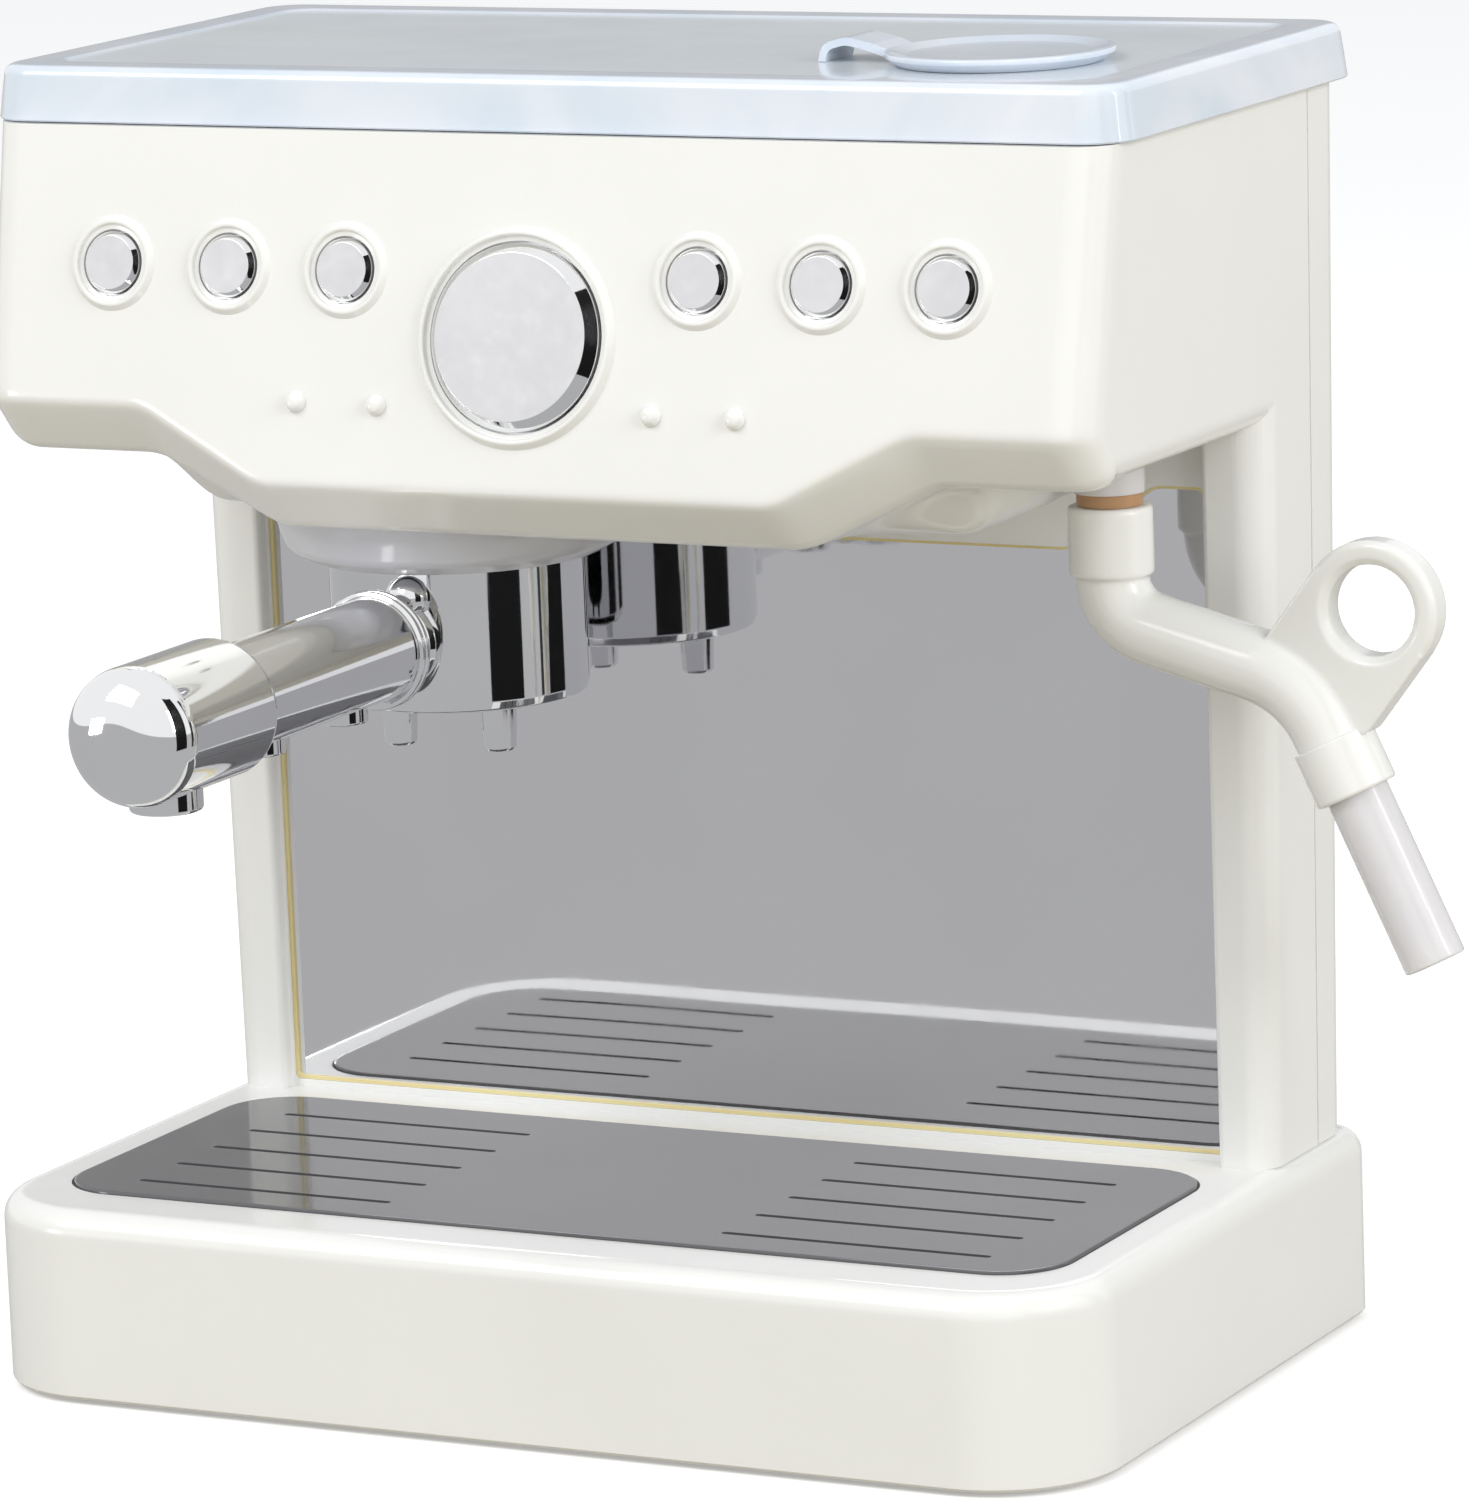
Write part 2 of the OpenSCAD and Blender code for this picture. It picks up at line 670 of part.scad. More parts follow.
// Flange round the top of the housing, and the lip that the lid drops over.
module top_lip() {
  flange_w = 2 * house_half_w - 3;
  flange_front = head_front_y + 1.5;
  flange_back = house_back_y - 1.5;
  difference() {
    union() {
      outline_slab(flange_w, flange_back - flange_front, house_r - 1.5, house_r - 1.5,
                   lid_seat_z - house_wall, lid_seat_z, (flange_back + flange_front) / 2);
      outline_slab(lip_w, lip_back - lip_front, lip_r, lip_r, lid_seat_z - 1, lid_under_z, (lip_back + lip_front) / 2);
    }
    outline_slab(lip_w - 2 * lip_t, lip_back - lip_front - 2 * lip_t, lip_r - lip_t, lip_r - lip_t,
                 lid_seat_z - 6, lid_under_z + 1, (lip_back + lip_front) / 2);
  }
}

// Raised ring round a button, with its soft outer edge.
module bezel(bore, rise) {
  rotate_extrude()
    polygon([[bore, -1], [bore, 0.2], [bore + 1.1, 0.4], [bore + 1.4, rise], [bore + 2, rise + 0.1],
             [bore + 2.6, rise * 0.5], [bore + 3.1, 0], [bore + 3.1, -1]]);
}

module front_shell() {
  color(ivory) intersection() {
    translate([-150, -80, 0]) cube([300, 80 + seam_y, 300]);
    difference() {
      union() {
        difference() {
          union() {
            // tower with the bay between its columns
            difference() {
              tower_block();
              bay_sheet(bay_half_w, 0, 0, -90, 90 + splash_y);
            }
            head_block();
            chin_block();
          }
          // hollow of the head and of the tower, leaving the wall behind the bay
          difference() {
            union() {
              tower_block(house_wall);
              head_block(house_wall);
              chin_block(house_wall);
            }
            bay_sheet(bay_half_w + house_wall, 0, -house_wall, splash_y - 10, splash_t + 10);
          }
        }
        top_lip();
        for (x = button_xs) on_panel(x, button_z) bezel(button_bore_r, 0.9);
        on_panel(0, brew_z) bezel(brew_bore_r, 1.3);
        // four small pilot bumps under the buttons
        for (side = [-1, 1])
          for (x = bump_xs)
            on_panel(side * x, bump_z) sphere(r = bump_r);
        // posts that the circuit board stands on
        for (x = board_post_xs)
          on_panel(x, button_z) translate([0, 0, -board_back]) cylinder(r = board_post_r, h = board_back - 1);
        // posts behind the splash wall that take the rear cover's screws
        for (place = rear_screw_places)
          translate([place[0], seam_y, place[1]]) rotate([90, 0, 0])
            cylinder(r = 4, h = seam_y - splash_y - splash_t + 1);
        // column feet that take the housing's screws
        for (side = [-1, 1])
          translate([side * (bay_half_w + 6), column_screw_y, deck_z]) screw_post(4.2, 16, 13);
        // socket collar of the wand's stem
        translate([wand_x, wand_y, head_low_z + 0.4]) cylinder(r = stem_r + 3, h = 3.4);
      }
      bay_sheet(mirror_half_w + mirror_gap, mirror_low_z - mirror_gap, mirror_border - mirror_gap,
                splash_y - 1, mirror_set + mirror_t + 1);
      for (x = button_xs) on_panel(x, button_z) translate([0, 0, -8]) cylinder(r = button_bore_r, h = 16);
      on_panel(0, brew_z) translate([0, 0, -8]) cylinder(r = brew_bore_r, h = 16);
      translate([wand_x, wand_y, head_low_z - 2]) cylinder(r = stem_r - 0.9, h = 12);
      for (side = [-1, 1])
        translate([side * (bay_half_w + 6), column_screw_y, deck_z - 1]) cylinder(r = screw_r + pilot_gap, h = 14);
      for (place = rear_screw_places)
        translate([place[0], seam_y + 1, place[1]]) rotate([90, 0, 0]) cylinder(r = screw_r + pilot_gap, h = 12);
      // outlet above the group ring
      translate([group_x, group_y, chin_low_z - 2]) cylinder(r = 3.4, h = 12);
    }
  }
}

module rear_cover() {
  back_bore = house_back_y - seam_y;
  color(ivory) intersection() {
    translate([-150, seam_y, 0]) cube([300, 60, 300]);
    difference() {
      union() {
        difference() {
          tower_block();
          tower_block(house_wall);
        }
        top_lip();
        for (side = [-1, 1])
          translate([side * rear_screw_x, rear_screw_y, deck_z]) screw_post(4.2, 16, 13);
        for (place = rear_screw_places)
          translate([place[0], house_back_y - 1.6, place[1]]) rotate([90, 0, 0]) cylinder(r = 4.6, h = back_bore - 1.6);
        translate([speaker_x, house_back_y - 1.6, speaker_z]) rotate([90, 0, 0])
          cylinder(r = speaker_r + 1.4, h = speaker_seat);
      }
      for (place = rear_screw_places) {
        translate([place[0], house_back_y + 1, place[1]]) rotate([90, 0, 0]) cylinder(r = 3.2, h = back_bore - 3);
        translate([place[0], house_back_y + 1, place[1]]) rotate([90, 0, 0])
          cylinder(r = screw_r + 0.25, h = back_bore + 2);
      }
      for (side = [-1, 1])
        translate([side * rear_screw_x, rear_screw_y, deck_z - 1]) cylinder(r = screw_r + pilot_gap, h = 14);
      // sound holes
      for (turn = [0:60:300])
        translate([speaker_x + 7 * cos(turn), house_back_y + 1, speaker_z + 7 * sin(turn)])
          rotate([90, 0, 0]) cylinder(r = 1.2, h = speaker_seat + 4);
      translate([speaker_x, house_back_y + 1, speaker_z]) rotate([90, 0, 0]) cylinder(r = 1.2, h = speaker_seat + 4);
    }
  }
}

module rear_screws() {
  color(steel)
    for (place = rear_screw_places)
      translate([place[0], seam_y + 5.6, place[1]]) rotate([90, 0, 0]) screw_up(13.5);
}

module mirror_panel() {
  color(chrome_grey)
    bay_sheet(mirror_half_w, mirror_low_z, mirror_border, mirror_y, mirror_t);
}

module lid() {
  flare_w = lid_w - 2 * lid_flare;
  flare_d = lid_d - 2 * lid_flare;
  edge = 2.4;
  top_r = lid_r - lid_flare;
  color(pearl_blue) difference() {
    hull()
      for (x = [-1, 1])
        for (y = [-1, 1]) {
          translate([x * (lid_w / 2 - lid_r), lid_mid_y + y * (lid_d / 2 - lid_r), lid_bottom_z])
            cylinder(r = lid_r, h = 0.1, $fn = 48);
          translate([x * (flare_w / 2 - top_r), lid_mid_y + y * (flare_d / 2 - top_r), lid_top_z - edge - 0.2])
            soft_disc(top_r, edge + 0.2, edge);
        }
    outline_slab(flare_w - 2 * lid_t, flare_d - 2 * lid_t, top_r - lid_t, top_r - lid_t,
                 lid_bottom_z - 1, lid_under_z, lid_mid_y);
    outline_slab(lid_w - 2 * panel_border, lid_d - 2 * panel_border, 5, 5,
                 lid_top_z - panel_deep, lid_top_z + 1, lid_mid_y);
    translate([cap_x, cap_y, lid_bottom_z]) cylinder(r = fill_r, h = lid_h + 1);
  }
  // ribs that bear on the back of the lip
  color(pearl_blue)
    for (x = [-70, 0, 70])
      translate([x - 1, lip_back + lip_gap, lid_bottom_z + 2])
        cube([2, lid_back_y - lid_wall_inset - lip_back - lip_gap + 0.4, lid_under_z - lid_bottom_z - 1.6]);
}

module filler_cap() {
  rim = 1.6;
  tab_w = 12;
  curl_in = 3.4;
  curl_out = 5;
  plug_gap = 0.15;
  color(pearl_blue) translate([cap_x, cap_y, lid_top_z - panel_deep]) {
    rotate_extrude()
      polygon([[0, 0], [fill_r - 2.2, 0], [fill_r - 2.2, -5], [fill_r - plug_gap - 0.3, -5],
               [fill_r - plug_gap, -4], [fill_r - plug_gap, 0],
               [cap_r - 1.6, 0], [cap_r, 1], [cap_r, 2 + rim], [cap_r - 1.2, 2 + rim], [cap_r - 3.4, 2], [0, 1.6]]);
    // curled finger tab
    translate([-cap_r - 0.2, tab_w / 2, 0]) rotate([90, 0, 0]) linear_extrude(tab_w)
      difference() {
        circle(r = curl_out);
        circle(r = curl_in);
        translate([-curl_out - 1, -curl_out - 1]) square([2 * curl_out + 2, curl_out + 1]);
      }
  }
}

module water_tank() {
  floor_z = chin_low_z + house_wall;
  top_z = lid_seat_z - tank_head_gap;
  wall = 1.8;
  color(pearl_blue) difference() {
    union() {
      translate([tank_x, tank_front_y, floor_z]) cube([tank_low_w, tank_d, top_z - floor_z]);
      translate([tank_x, tank_front_y, tank_shelf_z]) cube([tank_high_w, tank_d, top_z - tank_shelf_z]);
      translate([hose_x, tank_back_y - 1, tank_port_z]) rotate([-90, 0, 0]) cylinder(r = hose_r, h = 6);
    }
    translate([tank_x + wall, tank_front_y + wall, floor_z + wall])
      cube([tank_low_w - 2 * wall, tank_d - 2 * wall, top_z]);
    translate([tank_x + wall, tank_front_y + wall, tank_shelf_z + wall])
      cube([tank_high_w - 2 * wall, tank_d - 2 * wall, top_z]);
    translate([hose_x, tank_back_y - 4, tank_port_z]) rotate([-90, 0, 0]) cylinder(r = hose_r - 1.2, h = 12);
  }
}

// ---- brew group ----
lug_angle = 34;
unlock_turn = 50;

module lug_sector(r, low_z, h, start, span) {
  translate([0, 0, low_z]) rotate([0, 0, start]) rotate_extrude(angle = span) square([r, h]);
}

module group_ring() {
  groove_low = lug_low_z - 0.05;
  groove_high = cup_top_z + 0.4;
  color(pearl_blue) translate([group_x, group_y, 0]) difference() {
    rotate_extrude()
      union() {
        translate([0, ring_low_z + group_edge]) square([group_r, group_drop - group_edge]);
        translate([0, ring_low_z]) square([group_r - group_edge, group_drop]);
        intersection() {
          translate([group_r - group_edge, ring_low_z + group_edge]) circle(r = group_edge);
          translate([0, ring_low_z]) square([group_r, group_edge]);
        }
      }
    translate([0, 0, ring_low_z - 1]) cylinder(r = ring_bore_r, h = groove_low - ring_low_z + 2);
    translate([0, 0, groove_low]) cylinder(r = cup_r + lug_reach + 0.5, h = groove_high - groove_low);
    // mouths that the lugs enter by when the handle is turned away
    for (k = [0:2])
      lug_sector(cup_r + lug_reach + 0.3, ring_low_z - 1, groove_low - ring_low_z + 1.6,
                 90 + 120 * k - unlock_turn - lug_angle / 2 - 2, lug_angle + 4);
    cylinder(r = 2, h = chin_low_z + 1);
  }
}

module filter_cup() {
  edge = 2.5;
  color(chrome_grey) translate([group_x, group_y, 0]) difference() {
    union() {
      rotate_extrude()
        union() {
          translate([0, cup_low_z + edge]) square([cup_r, cup_top_z - cup_low_z - edge]);
          translate([0, cup_low_z]) square([cup_r - edge, edge + 1]);
          translate([cup_r - edge, cup_low_z + edge]) circle(r = edge);
        }
      for (k = [0:2])
        lug_sector(cup_r + lug_reach, lug_low_z, lug_h, 90 + 120 * k - lug_angle / 2, lug_angle);
    }
    translate([0, 0, cup_low_z + cup_wall]) cylinder(r = cup_r - cup_wall, h = 60);
    for (side = [-1, 1])
      translate([side * spout_half, -spout_front, cup_low_z - 1]) cylinder(r = 2.5, h = 5, $fn = 32);
  }
}

spout_front = 6;

module spout_pair() {
  color(chrome_grey)
    for (side = [-1, 1])
      translate([group_x + side * spout_half, group_y - spout_front, cup_low_z])
        rotate_extrude($fn = 32)
          polygon([[1.6, -spout_len], [2.8, -spout_len], [3.3, -spout_len + 0.6], [3.9, 0], [2.4, 0],
                   [2.4, cup_wall + 0.2], [3.4, cup_wall + 0.2], [3.4, cup_wall + 1], [1.6, cup_wall + 1]]);
}

// Places a child with its +Z along the handle, away from the cup.
module along_handle() {
  translate([handle_x, group_y, handle_z]) rotate([90, 0, 0]) children();
}

module handle_neck() {
  flange_low = flange_reach - 3;
  color(chrome_grey) difference() {
    union() {
      along_handle()
        rotate_extrude()
          polygon([[0, cup_r - 4], [8.2, cup_r - 4], [8.8, cup_r + 0.6], [8.2, cup_r + 1.6], [6.8, cup_r + 2.4],
                   [6.8, flange_low - 0.6], [flange_r - 0.8, flange_low], [flange_r, flange_low + 0.8],
                   [flange_r, flange_low + 2.2], [flange_r - 0.8, flange_low + 3], [0, flange_low + 3]]);
      // locking boss above the neck
      translate([handle_x, group_y - cup_r + 0.6, handle_z + 9.6]) sphere(r = 4.2, $fn = 48);
    }
    translate([group_x, group_y, 0]) cylinder(r = cup_r + 0.02, h = 200);
  }
}

under_drop = 5.6;
tenon_r = 7.5;
tenon_len = 27;
cap_screw_d = 20;
under_r = 10;
screw_ds = [12, 44];

module handle_grip() {
  color(chrome_grey) along_handle() translate([0, 0, flange_reach])
    difference() {
      union() {
        difference() {
          cylinder(r = grip_r, h = grip_len);
          translate([-20, -20 - under_drop, -1]) cube([40, 20, grip_len + 2]);
        }
        // tenon inside the end cap
        translate([0, 0, grip_len - 4]) cylinder(r = tenon_r, h = tenon_len + 4);
      }
      translate([-20, -20 - under_drop, -1]) cube([40, 20, grip_len + 1]);
      translate([0, 0, grip_len + cap_screw_d]) rotate([90, 0, 0])
        cylinder(r = screw_r + pilot_gap, h = 20, $fn = 32);
      for (d = screw_ds) translate([0, 1 - under_drop, d]) rotate([90, 0, 0])
        translate([0, 0, -8]) cylinder(r = screw_r + pilot_gap, h = 10, $fn = 32);
    }
}

module handle_underside() {
  color(chrome_grey) along_handle() translate([0, 0, flange_reach])
    difference() {
      union() {
        intersection() {
          cylinder(r = under_r, h = grip_len);
          translate([-20, -20 - under_drop, 0]) cube([40, 20, grip_len]);
        }
        // round screw bosses moulded on the underside
        for (d = screw_ds) translate([0, -under_drop, d]) rotate([90, 0, 0]) cylinder(r = 5, h = 6.2);
      }
      for (d = screw_ds) translate([0, -under_drop, d]) rotate([90, 0, 0]) {
        translate([0, 0, -1]) cylinder(r = screw_r + 0.2, h = 20, $fn = 32);
        translate([0, 0, 3.4]) cylinder(r = 3, h = 10, $fn = 32);
      }
    }
}

module handle_end_cap() {
  edge = 9;
  color(chrome_grey) along_handle() translate([0, 0, flange_reach + grip_len])
    difference() {
      union() {
        rotate_extrude()
          union() {
            square([end_cap_r, end_cap_len - edge]);
            square([end_cap_r - edge + 0.1, end_cap_len]);
            intersection() {
              translate([end_cap_r - edge, end_cap_len - edge]) circle(r = edge);
              square([end_cap_r, end_cap_len]);
            }
          }
        translate([0, 0, cap_screw_d]) rotate([90, 0, 0]) cylinder(r = 7, h = end_cap_r + 2.4);
      }
      translate([0, -end_cap_r + 3, cap_screw_d]) rotate([90, 0, 0]) cylinder(r = 3, h = 20, $fn = 32);
      translate([0, 0, cap_screw_d]) rotate([90, 0, 0]) cylinder(r = screw_r + 0.2, h = 20, $fn = 32);
      translate([0, 0, -1]) cylinder(r = tenon_r + 0.1, h = tenon_len + 1.3);
    }
}

module handle_screws() {
  color(steel) along_handle() {
    for (d = screw_ds)
      translate([0, -under_drop - 3.4 - 1.6, flange_reach + d]) rotate([-90, 0, 0]) screw_up(10, 2.6);
    translate([0, -end_cap_r + 3 - 1.6, flange_reach + grip_len + cap_screw_d]) rotate([-90, 0, 0]) screw_up(9, 2.6);
  }
}

// ---- steam wand ----
collar_low_z = collar_top_z - collar_len;
seal_h = 2.6;
clip_z = head_low_z + 3.8;
elbow_end = [elbow_r - elbow_r * sin(arm_slope), collar_low_z - elbow_r * cos(arm_slope)];
arm_dir = [cos(arm_slope), -sin(arm_slope)];
arm_end = elbow_end + arm_len * arm_dir;
bend_swell = 0.03;
bend_mid = arm_end - bend_r * [sin(arm_slope), cos(arm_slope)];
bend_end = bend_mid + bend_r * [sin(tube_slope), cos(tube_slope)];
tube_dir = [cos(tube_slope), -sin(tube_slope)];
sleeve_start = bend_end + 2 * tube_dir;
sleeve_end = sleeve_start + sleeve_len * tube_dir;
strap_deg = 233;
strap_dir = [cos(strap_deg), sin(strap_deg)];
strap_side = [-sin(strap_deg), cos(strap_deg)];
strap_half = ring_r - 0.06;
ring_mid = [ring_out, ring_z];

// Places a flat child of the XZ plane at the wand's pivot.
module wand_frame() {
  translate([wand_x, wand_y, 0]) rotate([90, 0, 0]) children();
}

// Part of a round tube that bends in that plane.
module tube_bend(mid, path_r, tube_radius, from_deg, to_deg) {
  translate(mid) rotate([0, 0, from_deg]) rotate_extrude(angle = to_deg - from_deg)
    translate([path_r, 0]) circle(r = tube_radius);
}

// Straight round tube in that plane, from a point along a direction.
module tube_run(start, slope, tube_radius, len) {
  translate(start) rotate([0, 0, -slope]) rotate([0, 90, 0]) cylinder(r = tube_radius, h = len);
}

module wand_stem() {
  color("#DDE3E8", 0.6) translate([wand_x, wand_y, 0]) rotate_extrude()
    polygon([[2.4, collar_low_z + 2], [flange_stem_r, collar_low_z + 2], [flange_stem_r, collar_low_z + 4],
             [spigot_r, collar_low_z + 4], [spigot_r, collar_top_z + seal_h], [stem_r, collar_top_z + seal_h],
             [stem_r, head_low_z], [stem_r - 1, head_low_z], [stem_r - 1, clip_z], [stem_r - 1.8, clip_z],
             [stem_r - 1.8, clip_z + 1.5], [stem_r - 1, clip_z + 1.5], [stem_r - 1, clip_z + 3], [2.4, clip_z + 3]]);
}

module wand_seal() {
  color("#C98A4B") translate([wand_x, wand_y, collar_top_z + 0.1])
    difference() {
      cylinder(r = stem_r - 0.5, h = seal_h - 0.1);
      translate([0, 0, -1]) cylinder(r = spigot_r + 0.02, h = seal_h + 2);
    }
}

module wand_clip() {
  color(steel) translate([wand_x, wand_y, clip_z])
    difference() {
      cylinder(r = stem_r + 1.8, h = 1.4);
      translate([0, 0, -1]) cylinder(r = stem_r - 1.7, h = 4);
      translate([0, -3, -1]) cube([20, 6, 4]);
    }
}

module wand_arm() {
  color(ivory) difference() {
    union() {
      translate([wand_x, wand_y, collar_low_z]) soft_disc(collar_r, collar_len, 0.8);
      wand_frame() {
        tube_run([0, collar_low_z + 0.6], 90, arm_r, 0.9);
        tube_bend([elbow_r, collar_low_z], elbow_r, arm_r + bend_swell, 180, 270 - arm_slope);
        tube_run(elbow_end - 0.3 * arm_dir, arm_slope, arm_r, arm_len + 0.6);
        tube_bend(bend_mid, bend_r, arm_r + bend_swell, 90 - tube_slope, 90 - arm_slope);
        tube_run(bend_end - 0.3 * tube_dir, tube_slope, arm_r, 2.8);
        tube_run(sleeve_start, tube_slope, sleeve_r, sleeve_len);
        translate([0, 0, -ring_t / 2]) linear_extrude(ring_t) {
          translate(ring_mid) circle(r = ring_r);
          polygon([ring_mid - strap_half * strap_side, ring_mid - strap_half * strap_side + 21 * strap_dir,
                   bend_end - 4 * tube_dir, sleeve_start + 1.5 * tube_dir,
                   ring_mid + strap_half * strap_side + 19 * strap_dir, ring_mid + strap_half * strap_side]);
        }
      }
    }
    // seat of the stem's spigot and its flange
    translate([wand_x, wand_y, collar_low_z + 3]) cylinder(r = spigot_r + spigot_gap, h = collar_len);
    translate([wand_x, wand_y, collar_low_z + 1.6]) cylinder(r = flange_stem_r + 0.4, h = 2.5);
    wand_frame() {
      translate([ring_mid[0], ring_mid[1], -10]) cylinder(r = ring_hole_r, h = 20);
      tube_run(sleeve_end - tube_in * tube_dir, tube_slope, tube_r + 0.05, 20);
    }
  }
}

module wand_tube() {
  color("#E8EAEE", 0.6) wand_frame()
    difference() {
      tube_run(sleeve_end - tube_in * tube_dir, tube_slope, tube_r, tube_in + tube_len);
      tube_run(sleeve_end - (tube_in - 1.5) * tube_dir, tube_slope, tube_r - 1.5, tube_in + tube_len);
    }
}

// ---- buttons and what stands behind them ----

module panel_button(r, flange_r, face_edge) {
  back = -panel_t * lean_cos - 0.05;
  rotate_extrude()
    polygon([[0, back - button_flange_t], [flange_r, back - button_flange_t], [flange_r, back], [r, back],
             [r, button_proud - face_edge], [r - 0.3 * face_edge, button_proud - 0.35 * face_edge],
             [r - face_edge, button_proud], [0, button_proud]]);
}

// Points of one ring of a helix's wire.
function wire_ring(turn_r, wire_r, deg, z, sides) = [
  for (k = [0:sides - 1])
    let (a = 360 * k / sides)
      [(turn_r + wire_r * cos(a)) * cos(deg), (turn_r + wire_r * cos(a)) * sin(deg), z + wire_r * sin(a)]
];

// Compression spring from z = 0 down to z = -len.
module coil_spring(turn_r, wire_r, len, turns, steps = 10, sides = 5) {
  rings = floor(turns * steps);
  rise = len - 2 * wire_r;
  points = [
    for (i = [0:rings])
      each wire_ring(turn_r, wire_r, 360 * i / steps, -wire_r - rise * i / rings, sides)
  ];
  walls = [
    for (i = [0:rings - 1]) for (k = [0:sides - 1])
      let (a = i * sides + k, b = i * sides + (k + 1) % sides)
        each [[a, b, b + sides], [a, b + sides, a + sides]]
  ];
  caps = [[for (k = [sides - 1:-1:0]) k], [for (k = [0:sides - 1]) rings * sides + k]];
  polyhedron(points, concat(walls, caps));
}

flange_back = -panel_t * lean_cos - 0.05 - button_flange_t;

module small_button(i) {
  color(chrome_grey) on_panel(button_xs[i], button_z) panel_button(button_r, button_flange_r, 0.9);
}

module small_spring(i) {
  color(steel) on_panel(button_xs[i], button_z) translate([0, 0, flange_back])
    coil_spring(3.2, 0.35, board_back + flange_back, 5);
}

module brew_button() {
  color(chrome_grey) on_panel(0, brew_z) panel_button(brew_r, brew_r + 2, 1.6);
}

module brew_spring() {
  color(steel) on_panel(0, brew_z) translate([0, 0, flange_back])
    coil_spring(8, 0.5, board_back + flange_back, 4);
}

module circuit_board() {
  row_half = button_first_x + 2 * button_pitch + 9;
  brew_drop = (button_z - brew_z) / lean_cos;
  color("#2F6B4A") on_panel(0, button_z) translate([0, 0, -board_back - board_t])
    linear_extrude(board_t)
      union() {
        translate([-row_half, -8.5]) square([2 * row_half, 17]);
        translate([-24, -brew_drop - 13]) square([48, brew_drop + 13]);
      }
}

speaker_r = 14;
speaker_x = -60;
speaker_z = 205;
speaker_seat = 7;
hose_x = 30;

module speaker() {
  color(rubber_black) translate([speaker_x, house_back_y - 1.6 - speaker_seat, speaker_z]) rotate([90, 0, 0])
    rotate_extrude() polygon([[0, 0], [speaker_r, 0], [speaker_r, 1.6], [speaker_r - 5, 4], [6, 4], [6, 7], [0, 7]]);
}

pump_y = seam_y;
pump_h = 44;
pump_r = 13;
motor_r = 10.5;
port_len = 5;
port_z = deck_z + 7;
side_port_len = 8;
side_port_reach = 18;
pump_top = deck_z + pump_h;

module pump() {
  color(steel) {
    translate([hose_x, pump_y, deck_z])
      rotate_extrude()
        polygon([[0, 0], [pump_r, 0], [pump_r, pump_r], [motor_r, pump_r + 1],
                 [motor_r, pump_h - port_len - 1], [hose_r, pump_h - port_len],
                 [hose_r, pump_h], [0, pump_h]]);
    translate([hose_x - side_port_reach, pump_y, port_z]) rotate([0, 90, 0]) cylinder(r = hose_r, h = side_port_len);
  }
}

// Straight run of the hose from a place, turned from +Z, and a quarter bend about a centre.
module hose_run(place, turn, r, len) {
  translate(place) rotate(turn) cylinder(r = r, h = len, $fn = 32);
}

module hose_quarter(centre, turn, r) {
  translate(centre) rotate(turn) rotate_extrude(angle = 90) translate([hose_bend, 0]) circle(r = r, $fn = 32);
}

// Both hoses as round rods of one radius; over runs past their ends.
module hose_paths(r, over = 0) {
  far_y = pump_y - hose_bend;
  low_z = port_z;
  up_x = group_x + hose_bend;
  near_y = group_y + hose_bend;
  // tank to pump
  hose_run([hose_x, tank_back_y + 5 - over, tank_port_z], [-90, 0, 0], r, far_y - tank_back_y - 5 + over);
  hose_quarter([hose_x, far_y, tank_port_z - hose_bend], [90, 0, 90], r);
  hose_run([hose_x, pump_y, pump_top - over], [0, 0, 0], r, tank_port_z - hose_bend - pump_top + over);
  // pump to the outlet over the group
  hose_run([up_x, pump_y, low_z], [0, 90, 0], r, hose_x - side_port_reach - up_x + over);
  hose_quarter([up_x, pump_y, low_z + hose_bend], [90, 180, 0], r);
  hose_run([group_x, pump_y, low_z + hose_bend], [0, 0, 0], r, hose_over_z - 2 * hose_bend - low_z);
  hose_quarter([group_x, far_y, hose_over_z - hose_bend], [90, 0, 90], r);
  hose_run([group_x, near_y, hose_over_z], [-90, 0, 0], r, far_y - near_y);
  hose_quarter([group_x, near_y, hose_over_z - hose_bend], [90, 0, -90], r);
  hose_run([group_x, group_y, chin_low_z - over], [0, 0, 0], r, hose_over_z - hose_bend - chin_low_z + over);
}

module water_hose() {
  color("#D8DEE4") difference() {
    hose_paths(hose_r);
    hose_paths(hose_r - 1.2, 1);
  }
}

base_shell();
bottom_cover();
rubber_feet();
base_screws();
battery_cover();
battery_cover_screw();
battery_cells();
battery_contacts();
drip_plate();
front_shell();
rear_cover();
rear_screws();
mirror_panel();
lid();
filler_cap();
water_tank();
group_ring();
filter_cup();
spout_pair();
handle_neck();
handle_grip();
handle_underside();
handle_end_cap();
handle_screws();
wand_stem();
wand_seal();
wand_clip();
wand_arm();
wand_tube();
small_button(0);  // button_1
small_button(1);  // button_2
small_button(2);  // button_3
small_button(3);  // button_4
small_button(4);  // button_5
small_button(5);  // button_6
small_spring(0);  // button_spring_1
small_spring(1);  // button_spring_2
small_spring(2);  // button_spring_3
small_spring(3);  // button_spring_4
small_spring(4);  // button_spring_5
small_spring(5);  // button_spring_6
brew_button();
brew_spring();
circuit_board();
speaker();
pump();
water_hose();
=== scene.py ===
"""Looks of the toy espresso machine: its meshes, finishes, studio and camera."""

import logging
import math
from dataclasses import dataclass, field
from enum import Enum
from typing import Sequence

import bmesh
import bpy
import numpy as np
from mathutils import Matrix, Vector

